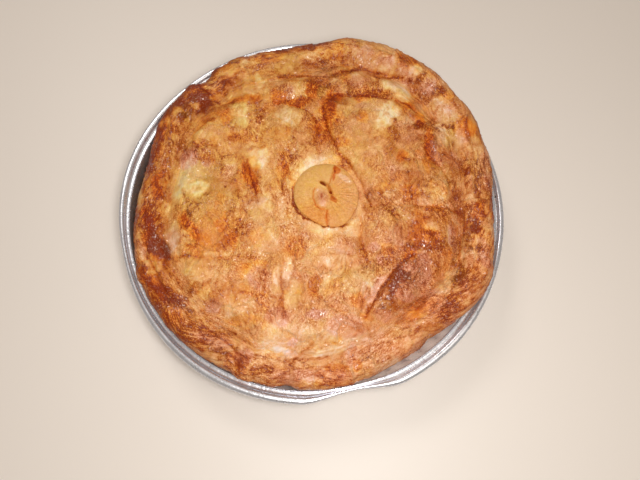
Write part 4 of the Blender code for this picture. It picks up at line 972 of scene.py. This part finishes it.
class Crust:
    """The crust's points, with the marks that its colour and fine relief are made from."""

    def __init__(self, points, marks):
        self.x, self.y, self.z = points.T
        self.dark, self.tone, self.hue, self.edges, self.along, self.across = marks.T
        self.flat = np.zeros_like(self.x)
        self.angle = np.arctan2(self.y, self.x)
        self.share = np.hypot(self.x, self.y) / outline_radius(self.angle)
        self.border = on_border(self.share)
        self.spots_at = warped(self.x, self.y, SPOT_BENDS)
        self.big_lines, self.small_lines = grain_lines(self.along, self.across)
        # Some of the crown is drawn smooth by the steam under it; the border is wrinkled all over.
        drawn = ramp(0.55 + 1.3 * roughness(self.x, self.y, self.flat, 16.0, 49))
        self.wrinkled = np.maximum(drawn, self.border)

    def noise(self, *layers):
        """Noise over the crust, added up from layers."""
        return layered(roughness, self.x, self.y, self.z, layers)

    def painted(self, spots, add=False):
        """A table's spots, laid over the crust with ragged edges."""
        return paint(*self.spots_at, spots, add)

    def bake(self):
        """How far each point is baked, from 0, pale, to 1, nearly black, with painted shade in creases, on
        some slopes and under the rosette's edge, and painted highlights on the flaps' lips.
        """
        inner = round_the_rim(CROWN_BAKE, self.angle)
        outer = round_the_rim(BORDER_BAKE, self.angle)
        bake = inner * (1.0 - self.border) + outer * self.border
        bake = MIDDLE_BAKE + (bake - MIDDLE_BAKE) * ramp((self.share - 0.1) / 0.3)
        brownest = bell(angle_from(self.angle, BROWNEST_ANGLE) / BROWNEST_HALF_ANGLE)
        bake += 0.22 * brownest * ramp((self.share - 0.91) / 0.05)
        bake += BROWN_DEPTH * self.painted(BROWN_AND_SHADE, add=True) - PALE_DEPTH * self.painted(PALE_AND_HIGHLIGHT, add=True)
        # The rosette's pale halo, and the painted shadow along its edge.
        bake += self.halo_and_shadow_by_rosette()
        # Creases are darkened, partly as browning and partly as painted shade; flaps' lips are lightened as
        # a painted highlight.
        bake += 0.48 * self.dark + 0.06 * self.tone - 0.14 * self.edges
        bake += self.noise((0.06, 7.0, 41), (0.05, 3.2, 42), (0.04, 1.5, 43))
        bake += self.wrinkled * (0.11 * self.big_lines + 0.09 * self.small_lines) - 0.065
        lengthwise = self.angle * BORDER_RADIUS / 1.7
        streaks = roughness(lengthwise, self.share * BORDER_RADIUS, self.flat, 1.8, 45)
        bake += 0.06 * streaks * self.border * (1.0 - pleated(self.angle))
        for speck_x, speck_y, size in SPECKS:
            bake += ramp(1.6 * (1.0 - np.hypot(self.x - speck_x, self.y - speck_y) / size))
        low_down = 0.35 * ramp((36.0 - self.z) / 4.0)
        return np.clip(bake * (1.0 - low_down) + SIDE_BAKE * low_down, 0.0, 1.2)

    def halo_and_shadow_by_rosette(self):
        """A pale halo round the rosette, and a painted shadow: a brown line along the rosette's edge, on
        its side away from 55 degrees.
        """
        from_middle = from_rosette(*self.spots_at)
        round_it = np.arctan2(self.y - ROSETTE_CENTRE[1], self.x - ROSETTE_CENTRE[0])
        halo = round_the_rim(HALO, round_it) * bell((from_middle - HALO_RADIUS) / HALO_HALF_WIDTH)
        from_edge = from_middle - round_the_rim(ROSETTE_OUTLINE, round_it) - 0.3
        return bell(from_edge) * ramp(0.05 - 1.25 * towards(round_it, 55.0)) - halo

    def tints(self, bake):
        """How much khaki, orange, plum, gold and shine each point has."""
        khaki = self.painted(KHAKI) + 0.35 * ramp(-2.0 * self.hue - 0.5)
        orange = self.painted(ORANGE) + 0.40 * ramp(2.0 * self.hue - 0.5) + 0.5 * self.dark
        # Plum tint: partly rosy brown, partly painted sheen.
        plum_and_sheen = 0.7 * self.painted(PLUM_AND_SHEEN)
        gold = 0.5 + 0.20 * np.clip((self.y + 35.0) / 60.0, -1.0, 1.0)
        gold += 0.6 * orange - plum_and_sheen - 0.16 * np.clip(self.x / 80.0, -1.0, 1.0)
        gold += self.noise((0.35, 13.0, 81), (0.30, 4.5, 82)) + 0.6 * ramp((bake - 0.55) / 0.4)
        shine = 0.22 + 0.22 * self.big_lines - 0.16 * orange
        shine += 0.70 * self.painted(GLOSS) * ramp(0.7 + self.noise((0.9, 2.6, 44)))
        tints = {"khaki": khaki, "orange": orange, "plum_and_sheen": plum_and_sheen, "gold": gold, "shine": shine}
        return {name: np.clip(values, 0.0, 1.0) for name, values in tints.items()}

    def relief(self, bake):
        """Height of the baked skin: crinkles, small bubbles and, on the border's side, flaky layers."""
        browned = ramp((bake - 0.35) / 0.35)
        bent_x, bent_y = warped(self.x, self.y, SKIN_BENDS)
        crinkle = 0.14 * ridges(bent_x, bent_y, self.z, 3.4, 52)
        crinkle += self.wrinkled * (0.40 * self.big_lines + 0.22 * self.small_lines)
        bubbles = 0.22 * ramp(1.4 * (0.55 - cells(self.x, self.y, self.z, 2.6, 54)))
        flakes = 0.35 * ridges(self.angle * BORDER_RADIUS / 9.0, self.z, self.flat, 1.9, 55)
        flakes *= ramp((self.share - 0.95) / 0.04)
        off_seat = ramp((from_rosette(self.x, self.y) - SEAT_RADIUS + 3.0) / 3.0)
        in_sight = ramp((self.z - 30.0) / 4.0)
        return (crinkle * (0.55 + 0.7 * browned) + bubbles * browned + flakes) * in_sight * off_seat


def make_pie():
    """The crust, from the middle of its top round the border to the middle of its underside."""
    rings, marks = crust_rings()
    top, bottom = (0.0, 0.0, SEAT_HEIGHT), (0.0, 0.0, FOIL + GAP)
    made, points = mesh_of_rings("fine_crust", top, rings, bottom, crust_material())
    unmarked = np.zeros((1, MARKS))
    crust = Crust(points, np.vstack([unmarked, *marks, unmarked]))
    bake = crust.bake()
    tints = crust.tints(bake)
    relief = crust.relief(bake)
    push_out(made, points, relief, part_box("pie"))
    set_values(made, bake=bake + 0.35 * relief, along=crust.along, across=crust.across, **tints)
    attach(made, "root")
    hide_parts("pie")


# ---------------------------------------------------------------- rosette


def petals(angle):
    """Each petal starts high, over the end of the one before it, and runs down to its own end."""
    first_span = SEAM_ANGLE - SLIT_ANGLE
    along = (np.degrees(angle) - SLIT_ANGLE) % 360.0
    in_first = along < first_span
    share = np.where(in_first, along / first_span, (along - first_span) / (360.0 - first_span))
    start_height = np.where(in_first, SLIT_STEP, SEAM_STEP)
    return start_height * (1.0 - share) ** 1.5 - 0.5 * SLIT_STEP


def near_line(x, y, path, half_width):
    """1 on a thin line, falling to 0 at half_width and towards the line's ends."""
    gap, place = from_path(x, y, np.array(path, float))
    return bell(gap / half_width) * ramp(6.0 * place) * ramp(6.0 - 6.0 * place)


def petal_pleats(x, y, share, angle):
    """Fine pleats: the second petal's fan out from beside the curl, and the first petal's are fainter."""
    fan = np.arctan2(y - PLEAT_FOCUS[1], x - PLEAT_FOCUS[0])
    fan = fan + 0.12 * roughness(x, y, 0.0 * x, 6.0, 65)
    in_second = ramp((towards(fan, -15.0) - 0.1) / 0.4) * ramp((share - 0.3) / 0.2)
    in_first = ramp((0.2 - towards(angle, -15.0)) / 0.4) * ramp((share - 0.4) / 0.2)
    second = 0.16 * np.cos(24.0 * fan) + 0.10 * np.cos(41.0 * fan + 2.0)
    return second * in_second + 0.07 * np.cos(30.0 * angle + 2.0 * share) * in_first


def rosette_height(radius, angle, outline):
    """Height above the seat, and how deep in a hole and in a thin line each point is."""
    share = radius / outline
    x, y = radius * np.cos(angle), radius * np.sin(angle)
    body = ROSETTE_EDGE_HEIGHT + ROSETTE_CROWN * bell((share - 0.55) / 0.6)
    body = body + petals(angle) * ramp((share - 0.2) / 0.25) + CURL_RISE * bell(ellipse(x, y, CURL))
    body = body + petal_pleats(x, y, share, angle)
    gap, place = from_path(x, y, np.array(CREVICE, float))
    crevice = bell(gap / CREVICE_HALF_WIDTH) * ramp(4.0 * place + 0.3) * ramp(2.0 - 2.0 * place)
    holes = np.zeros_like(x)
    for hole in HOLES:
        holes = np.maximum(holes, ramp(2.2 * (1.0 - ellipse(x, y, hole))))
    lines = np.maximum(near_line(x, y, CURL_EDGE, 0.8), 0.8 * near_line(x, y, SEAM, 0.7))
    beside_curl = bell((from_path(x, y, np.array(CURL_EDGE, float))[0] - 1.6) / 1.4)
    body = body - CREVICE_DEPTH * (0.45 * crevice + 0.55 * holes) - 0.55 * lines + 0.25 * beside_curl
    rounding = np.sqrt(np.clip(1.0 - share**8, 0.0, 1.0))
    slit = bell(angle_from(angle, SLIT_ANGLE) / 5.0) * ramp((share - 0.3) / 0.1)
    return 1.0 + (body - 1.0) * rounding, np.maximum(0.5 * crevice, holes), np.maximum(lines, 0.9 * slit)


def rosette_values(points, deep, lines, base):
    """The rosette's tone and tints. deep and lines say how far a point is in a hole and in a thin line;
    both are darkened, partly as browning and partly as painted shade.
    """
    x, y, z = points.T
    angle = np.arctan2(y, x)
    curl = bell(0.85 * ellipse(x, y, CURL))
    outer = ramp((np.hypot(x, y) - 6.0) / 5.0)
    brown_side = angle_from(angle, ROSETTE_BROWN_ANGLE)
    spots_at = warped(x, y, ROSETTE_BENDS)
    # The pale spots make the rosette paler and less golden; the first is a painted sheen.
    pale = paint(*spots_at, ROSETTE_PALE_AND_SHEEN)
    bake = 0.42 + 0.06 * roughness(x, y, z, 6.0, 63) + (0.05 + 0.12 * curl) * roughness(x, y, z, 1.8, 64)
    # Holes and thin lines are darkened, partly as browning and partly as painted shade.
    bake += 0.60 * deep + 0.14 * lines + 0.12 * curl + paint(*spots_at, ROSETTE_BROWN, add=True)
    bake += 0.08 * bell(brown_side / 45.0) * outer - 0.7 * paint(*spots_at, ROSETTE_PALE_AND_SHEEN, add=True)
    # Painted shade round the rosette's foot, strongest on its side away from 60 degrees.
    foot = ramp((base + 1.7 - z) / 1.5)
    bake += 0.40 * foot * (0.35 + 0.65 * ramp(0.4 - towards(angle, 60.0)))
    orange = 0.4 * bell(brown_side / 60.0) * outer + 0.5 * np.maximum(deep, lines)
    gold = 0.75 + layered(roughness, x, y, z, ((0.3, 9.0, 67), (0.2, 3.0, 68))) - 0.5 * curl - 1.4 * pale
    return {
        "bake": bake,
        "khaki": 0.55 * ramp(0.5 + 1.2 * towards(angle, 150.0)),
        "orange": orange + 3.0 * paint(*spots_at, ROSETTE_BROWN),
        "plum_and_sheen": 0.45 * curl,
        "gold": np.clip(gold, 0.0, 1.0),
        "shine": 0.08 + 0.15 * ramp(towards(angle, 20.0)) * outer + 0.4 * curl + 1.12 * pale,
    }


def make_rosette():
    # The slit and the seam fall between two neighbouring steps.
    angle = ring_angles(ROSETTE_STEPS) + math.radians(SLIT_ANGLE + 0.2)
    outline = round_the_rim(ROSETTE_OUTLINE, angle) - 0.9 * bell(angle_from(angle, SEAM_ANGLE + 2.0) / 4.0)
    outline = outline + 0.15 * round_noise(angle, 0.2, 66) - 0.2
    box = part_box("rosette")
    base = box[0].z / MM
    rings, deep, lines = [], [[0.0]], [[0.0]]
    for k in range(1, ROSETTE_RINGS + 1):
        even = k / ROSETTE_RINGS
        radius = (0.6 * math.sin(0.5 * math.pi * even) + 0.4 * even) * outline
        height, hole, line = rosette_height(radius, angle, outline)
        rings.append(ring_points(radius, angle, base + height))
        deep.append(hole)
        lines.append(line)
    rings.append(ring_points(outline - 0.6, angle, base))
    unmarked = [np.zeros(ROSETTE_STEPS), [0.0]]
    deep, lines = np.concatenate(deep + unmarked), np.concatenate(lines + unmarked)
    top = base + float(rosette_height(np.zeros(1), np.zeros(1), outline[0])[0][0])
    first, last = (0.0, 0.0, top), (0.0, 0.0, base)
    made, points = mesh_of_rings("fine_rosette", first, rings, last, rosette_material())
    made.location = (ROSETTE_CENTRE[0] * MM, ROSETTE_CENTRE[1] * MM, 0.0)
    x, y, z = points.T
    relief = 0.12 * roughness(x, y, z, 3.0, 61) + 0.06 * ridges(x, y, z, 1.6, 62)
    push_out(made, points, relief * ramp(z - base - 0.5), box)
    set_values(made, along=x, across=y, **rosette_values(points, deep, lines, base))
    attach(made, "root")
    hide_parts("rosette")


# ---------------------------------------------------------------- foil plate


def plate_profile():
    """The plate's section, from the middle of its upper face over the bead to its underside."""
    corner_radius = BASE_RADIUS - BASE_CORNER
    upper = [(BASE_RADIUS * share, FOIL) for share in (0.3, 0.6, 0.85)] + [(corner_radius, FOIL)]
    wall_heights = (*np.linspace(0.9, 4.4, 5), *np.linspace(7.0, LEDGE_HEIGHT - 0.4, 12))
    upper += [(float(wall_radius(height)), height) for height in wall_heights]
    lip = LEDGE_INNER_RADIUS - WALL_TOP_RADIUS
    for t in np.linspace(0.0, 1.0, 7):
        upper.append((WALL_TOP_RADIUS + lip * t, LEDGE_HEIGHT + LIP_HEIGHT * math.sin(math.pi * t)))
    upper += [(LEDGE_INNER_RADIUS + t, LEDGE_HEIGHT + 0.05 * t) for t in (0.5, 1.0, 1.5)]
    bead_radius, bead_height = RIM_RADIUS - BEAD_RADIUS, LEDGE_HEIGHT + 0.2
    turns = np.radians(np.linspace(165, -160, 25))
    bead = zip(bead_radius + BEAD_RADIUS * np.cos(turns), bead_height + BEAD_RADIUS * np.sin(turns))
    lower = [(LEDGE_INNER_RADIUS + FOIL, LEDGE_HEIGHT - FOIL)]
    for height in np.linspace(28.0, 4.5, 8):
        lower.append((float(wall_radius(height)) + FOIL, height - 0.3 * FOIL))
    lower += [(BASE_RADIUS - 0.3 * BASE_CORNER, 1.0), (corner_radius, 0.0)]
    return [*upper, *bead, *lower]


def bent_rim(radius, angle):
    """Where a part of the rim that was pressed at this radius ends up, for the bends and the dent."""
    width = RIM_RADIUS - LEDGE_INNER_RADIUS
    stretch = (1.0 + round_the_rim(RIM_BEND, angle) / width) * (1.0 - DENT_SQUEEZE * dent(angle))
    outside = max(radius - LEDGE_INNER_RADIUS, 0.0)
    return radius - outside + outside * stretch


def make_plate():
    angle = ring_angles(PLATE_STEPS)
    phase = FLUTES * angle + 0.8 * round_noise(angle, 0.12, 71)
    flutes = 0.5 * FLUTE_DEPTH * (2.0 / math.pi) * np.arcsin(0.96 * np.cos(phase))
    edge_x, edge_y, flat = ring_points(BORDER_RADIUS, angle, 0.0).T
    ticks = 0.05 * ridges(edge_x, edge_y, flat, 1.1, 72)
    wavy = 0.15 * round_noise(angle, 0.2, 73)
    rings = []
    for radius, height in plate_profile():
        on_wall = ramp((height - 1.5) / 4.0) * ramp((LEDGE_HEIGHT - 0.6 - height) / 3.0)
        on_wall *= float(radius < WALL_TOP_RADIUS + FOIL)
        on_rim = ramp((radius - LEDGE_INNER_RADIUS) / (2.0 * BEAD_RADIUS))
        on_top = float(radius > LEDGE_INNER_RADIUS and height > LEDGE_HEIGHT - 1.0)
        radii = bent_rim(radius, angle) + flutes * on_wall - wall_dent(height, angle)
        rings.append(ring_points(radii, angle, height + wavy * on_rim + ticks * on_top))
    top, bottom = (0.0, 0.0, FOIL), (0.0, 0.0, 0.0)
    made, points = mesh_of_rings("fine_foil_plate", top, rings, bottom, foil_material())
    x, y, z = points.T
    radius, around = np.hypot(x, y), np.arctan2(y, x)
    crumple = layered(ridges, x, y, z, ((0.10, 9.0, 74), (0.05, 4.0, 75)))
    on_wall = ramp((z - 2.0) / 5.0) * ramp((WALL_TOP_RADIUS + 1.0 - radius) / 2.0)
    push_out(made, points, crumple * on_wall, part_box("foil_plate"))
    wall_face = WALL_TOP_RADIUS + 0.9 - WALL_LEAN * (LEDGE_HEIGHT - z)
    inside = ramp((LEDGE_HEIGHT + 0.2 - z) / 0.8) * ramp(wall_face - radius)
    # Painted shade, with a painted reflection of the crust, on the left stretch of the inner wall.
    stain = inside * bell(angle_from(around, WALL_SHADE_ANGLE) / WALL_SHADE_HALF_ANGLE)
    # Painted light on the lower right stretch of the inner wall.
    milky = inside * bell(angle_from(around, WALL_LIGHT_ANGLE) / WALL_LIGHT_HALF_ANGLE)
    set_values(made, stain=stain, milky=milky)
    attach(made, "root")
    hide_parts("foil_plate")


# ---------------------------------------------------------------- crumbs


def make_crumbs():
    """Dark crumbs that have dropped onto the ledge: each a small lumpy ball, a little sunk."""
    shape = bmesh.new()
    for x, y, length in CRUMBS:
        ball = bmesh.ops.create_icosphere(shape, subdivisions=3, radius=1.0)
        middle = Vector((x, y, LEDGE_HEIGHT + 0.2 * length))
        for vertex in ball["verts"]:
            lump = 1.0 + 0.35 * noise.noise(vertex.co * 1.3 + Vector((x, y, 0.0)))
            sizes = (0.5 * length, 0.4 * length, 0.3 * length)
            place = Vector([part * size for part, size in zip(vertex.co, sizes)])
            vertex.co = (place * lump + middle) * MM
    mesh = bpy.data.meshes.new("crumbs")
    shape.to_mesh(mesh)
    shape.free()
    mesh.materials.append(crumb_material())
    mesh.shade_smooth()
    made = linked("crumbs", mesh)
    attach(made, "root")


# ---------------------------------------------------------------- materials


def colour(text):
    """Linear colour from six hexadecimal digits."""
    parts = [int(text[k : k + 2], 16) / 255.0 for k in (0, 2, 4)]
    return tuple(p / 12.92 if p <= 0.04045 else ((p + 0.055) / 1.055) ** 2.4 for p in parts) + (1.0,)


class Nodes:
    """Adds and joins the nodes of one material."""

    def __init__(self, name):
        self.material = bpy.data.materials.new(name)
        self.material.use_nodes = True
        self.tree = self.material.node_tree
        self.shader = self.tree.nodes["Principled BSDF"]
        self.place = self.add("ShaderNodeTexCoord").outputs["Object"]

    def add(self, kind, **settings):
        node = self.tree.nodes.new(kind)
        for name, value in settings.items():
            setattr(node, name, value)
        return node

    def put(self, socket, value):
        """Joins a socket to an output, or sets it to a constant."""
        if isinstance(value, bpy.types.NodeSocket):
            self.tree.links.new(value, socket)
        else:
            socket.default_value = value

    def set(self, **sockets):
        """Sets or joins the shader's sockets, with _ for each space in a name."""
        for name, value in sockets.items():
            self.put(self.shader.inputs[name.replace("_", " ")], value)

    def attribute(self, name):
        return self.add("ShaderNodeAttribute", attribute_name=name).outputs["Fac"]

    def noise(self, size, detail=2.0, rough=0.5, place=None):
        """Noise between 0 and 1 with bumps of this size in millimetres."""
        node = self.add("ShaderNodeTexNoise")
        self.put(node.inputs["Vector"], place or self.place)
        self.put(node.inputs["Scale"], 1.0 / (size * MM))
        self.put(node.inputs["Detail"], detail)
        self.put(node.inputs["Roughness"], rough)
        return node.outputs["Fac"]

    def cells(self, size):
        """Scattered cells of this size in millimetres, with outputs for distance and colour."""
        node = self.add("ShaderNodeTexVoronoi")
        self.put(node.inputs["Vector"], self.place)
        self.put(node.inputs["Scale"], 1.0 / (size * MM))
        return node.outputs

    def grain(self, stretch):
        """The place in the dough's grain, in metres across it and shortened along it."""
        node = self.add("ShaderNodeCombineXYZ")
        self.put(node.inputs["X"], self.maths("MULTIPLY", self.attribute("along"), MM / stretch))
        self.put(node.inputs["Y"], self.maths("MULTIPLY", self.attribute("across"), MM))
        return node.outputs["Vector"]

    def maths(self, operation, first, second, third=0.5, clamp=False):
        node = self.add("ShaderNodeMath", operation=operation, use_clamp=clamp)
        for socket, value in zip(node.inputs, (first, second, third)):
            self.put(socket, value)
        return node.outputs[0]

    def vectors(self, operation, first, second=(0.0, 0.0, 0.0)):
        node = self.add("ShaderNodeVectorMath", operation=operation)
        self.put(node.inputs[0], first)
        self.put(node.inputs[1], second)
        return node.outputs[0]

    def mix(self, share, first, second, blend="MIX"):
        node = self.add("ShaderNodeMix", data_type="RGBA", blend_type=blend)
        for socket, value in ((0, share), (6, first), (7, second)):
            self.put(node.inputs[socket], value)
        return node.outputs[2]

    def ramp(self, value, stops):
        """A colour between the stops, which each have a place and six hexadecimal digits."""
        node = self.add("ShaderNodeValToRGB")
        elements = node.color_ramp.elements
        while len(elements) < len(stops):
            elements.new(0.5)
        for element, (place, text) in zip(elements, stops):
            element.position = place
            element.color = colour(text)
        self.put(node.inputs[0], value)
        return node.outputs[0]

    def bump(self, height, distance, strength=1.0):
        """Bump from a height between 0 and 1, with this distance in millimetres."""
        node = self.add("ShaderNodeBump")
        self.put(node.inputs["Strength"], strength)
        self.put(node.inputs["Distance"], distance * MM)
        self.put(node.inputs["Height"], height)
        return node.outputs["Normal"]

    def flakes(self, normal, size, lean):
        """A normal that leans its own way in each cell of this size, like flakes and tiny blisters."""
        way = self.vectors("SUBTRACT", self.cells(size)["Color"], (0.5, 0.5, 0.5))
        leaning = self.vectors("ADD", self.vectors("MULTIPLY", way, (lean, lean, lean)), normal)
        return self.vectors("NORMALIZE", leaning)


def baked(name, rough_dull, rough_shiny, speckled):
    """Baked pastry: toned by how far it is baked, which also carries painted shade and highlights, and
    tinted by its other values, with speckle, painted glints, shine and fine bump.
    """
    nodes = Nodes(name)
    streaks = nodes.noise(1.3, detail=3.0, rough=0.65, place=nodes.grain(1.8))
    speckle = nodes.maths("ADD", nodes.noise(0.7, detail=3.0, rough=0.7), streaks)
    browner = nodes.maths("MULTIPLY_ADD", nodes.attribute("bake"), 1.25, 0.26)
    speckle = nodes.maths("MULTIPLY", nodes.maths("SUBTRACT", speckle, 1.0), browner)
    # Some of the skin is drawn smooth, above all where it is pale, and some is coarse.
    coarse = nodes.maths("MULTIPLY_ADD", nodes.noise(24.0, detail=1.0), 3.2, -0.50)
    coarse = nodes.maths("MULTIPLY_ADD", nodes.attribute("khaki"), -0.5, coarse)
    coarse = nodes.maths("MINIMUM", nodes.maths("MAXIMUM", coarse, 0.45), 1.5)
    speckle = nodes.maths("MULTIPLY", speckle, nodes.maths("MULTIPLY", coarse, speckled))
    bake = nodes.maths("ADD", nodes.attribute("bake"), speckle, clamp=True)
    made = nodes.ramp(bake, BAKED_TONES)
    uneven = nodes.maths("MULTIPLY_ADD", nodes.noise(2.2), 0.9, 0.55)
    for tint, tones in TINTED_TONES.items():
        share = nodes.maths("MULTIPLY", nodes.attribute(tint), uneven, clamp=True)
        made = nodes.mix(share, made, nodes.ramp(bake, tones))
    gold = nodes.maths("MULTIPLY", nodes.attribute("gold"), uneven, clamp=True)
    made = nodes.mix(1.0, made, nodes.mix(gold, ROSY, GOLDEN), "MULTIPLY")
    shine = nodes.attribute("shine")
    # Painted glints: crisp pale specks mixed into the base colour where the skin is shiny.
    painted_glints = nodes.maths("ADD", nodes.noise(1.0), streaks)
    painted_glints = nodes.maths("MULTIPLY_ADD", painted_glints, 5.0, -5.6, clamp=True)
    made = nodes.mix(nodes.maths("MULTIPLY", painted_glints, shine), made, PAINTED_GLINT)
    rough = nodes.maths("MULTIPLY_ADD", shine, rough_shiny - rough_dull, rough_dull)
    patchy = nodes.maths("MULTIPLY_ADD", nodes.noise(1.6), 0.2, -0.1)
    rough = nodes.maths("ADD", rough, patchy, clamp=True)
    fine = nodes.maths("ADD", nodes.noise(0.8, detail=4.0, rough=0.6), streaks)
    fine = nodes.maths("MULTIPLY_ADD", nodes.cells(0.9)["Distance"], 0.5, fine)
    coat_bump = nodes.bump(nodes.noise(3.0, detail=1.0), distance=0.8)
    coat_bump = nodes.flakes(coat_bump, size=1.1, lean=0.6)
    nodes.set(Base_Color=made, Roughness=rough, Specular_IOR_Level=0.15)
    nodes.set(Normal=nodes.bump(fine, distance=0.45, strength=0.8))
    nodes.set(Coat_Weight=shine, Coat_Roughness=0.15, Coat_Normal=coat_bump)
    nodes.set(Subsurface_Weight=0.06, Subsurface_Scale=0.002, Subsurface_Radius=(1.0, 0.45, 0.2))
    return nodes.material


def crust_material():
    return baked("baked_pastry", rough_dull=0.52, rough_shiny=0.24, speckled=1.15)


def rosette_material():
    return baked("rosette_pastry", rough_dull=0.58, rough_shiny=0.34, speckled=0.5)


def crumb_material():
    nodes = Nodes("dark_crumb")
    tone = nodes.mix(nodes.noise(0.6), colour("180A0C"), colour("40241C"))
    lumpy = nodes.bump(nodes.noise(0.3, detail=3.0), distance=0.1)
    nodes.set(Base_Color=tone, Roughness=0.6, Normal=lumpy)
    return nodes.material


def foil_material():
    """Pressed foil, finely dented, with painted shade on one stretch of its wall and painted light on
    another, where it is also less metallic.
    """
    nodes = Nodes("pressed_foil")
    dents = nodes.maths("MULTIPLY_ADD", nodes.noise(1.5, detail=3.0), 0.35, nodes.noise(7.0))
    rough = nodes.maths("MULTIPLY_ADD", nodes.noise(5.0, detail=3.0), 0.16, 0.20)
    tone = nodes.mix(nodes.noise(11.0), colour("D9DAE3"), colour("EFF0F8"))
    # Painted shade and reflection of the crust: brownish grey on the wall's left stretch.
    tone = nodes.mix(nodes.attribute("stain"), tone, colour("9C8F88"))
    # Painted light: near white and less metallic on the wall's lower right stretch.
    milky = nodes.attribute("milky")
    tone = nodes.mix(milky, tone, colour("FAF8F6"))
    metallic = nodes.maths("MULTIPLY_ADD", milky, -0.70, 0.80)
    nodes.set(Base_Color=tone, Metallic=metallic, Roughness=rough)
    nodes.set(Normal=nodes.bump(dents, distance=0.20, strength=0.5))
    return nodes.material


def floor_material():
    nodes = Nodes("pale_table")
    nodes.set(Base_Color=colour("EEE5DE"), Roughness=0.45)
    return nodes.material


# ---------------------------------------------------------------- stage, lights, camera


def make_floor():
    half = FLOOR_HALF_WIDTH
    mesh = bpy.data.meshes.new("floor")
    points = [(-half, -half, 0), (half, -half, 0), (half, half, 0), (-half, half, 0)]
    mesh.from_pydata(points, [], [(0, 1, 2, 3)])
    mesh.materials.append(floor_material())
    floor = linked("floor", mesh)


def add_light(name, place, aim, size, power, tint):
    """A soft round light. Lengths are in metres and power in watts."""
    light = bpy.data.lights.new(name, "AREA")
    light.shape = "DISK"
    light.size = size
    light.energy = power
    light.color = tint
    made = linked(name, light)
    made.location = place
    made.rotation_euler = (Vector(aim) - Vector(place)).to_track_quat("-Z", "Y").to_euler()


def light_the_scene():
    world = bpy.data.worlds.new("room")
    world.use_nodes = True
    background = world.node_tree.nodes["Background"]
    background.inputs["Color"].default_value = ROOM_COLOUR
    background.inputs["Strength"].default_value = ROOM_STRENGTH
    bpy.context.scene.world = world
    for light in LIGHTS:
        add_light(*light)


def place_camera():
    camera = bpy.data.cameras.new("camera")
    camera.lens = CAMERA_LENS
    camera.sensor_width = SENSOR_WIDTH
    camera.clip_start = NEAREST_SEEN
    made = linked("camera", camera)
    made.location = CAMERA_PLACE
    made.rotation_euler = (math.radians(CAMERA_TILT), 0.0, 0.0)
    bpy.context.scene.camera = made


def main():
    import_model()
    make_plate()
    make_pie()
    make_rosette()
    make_crumbs()
    make_floor()
    light_the_scene()
    place_camera()
    bpy.context.scene.view_settings.view_transform = "Standard"


main()
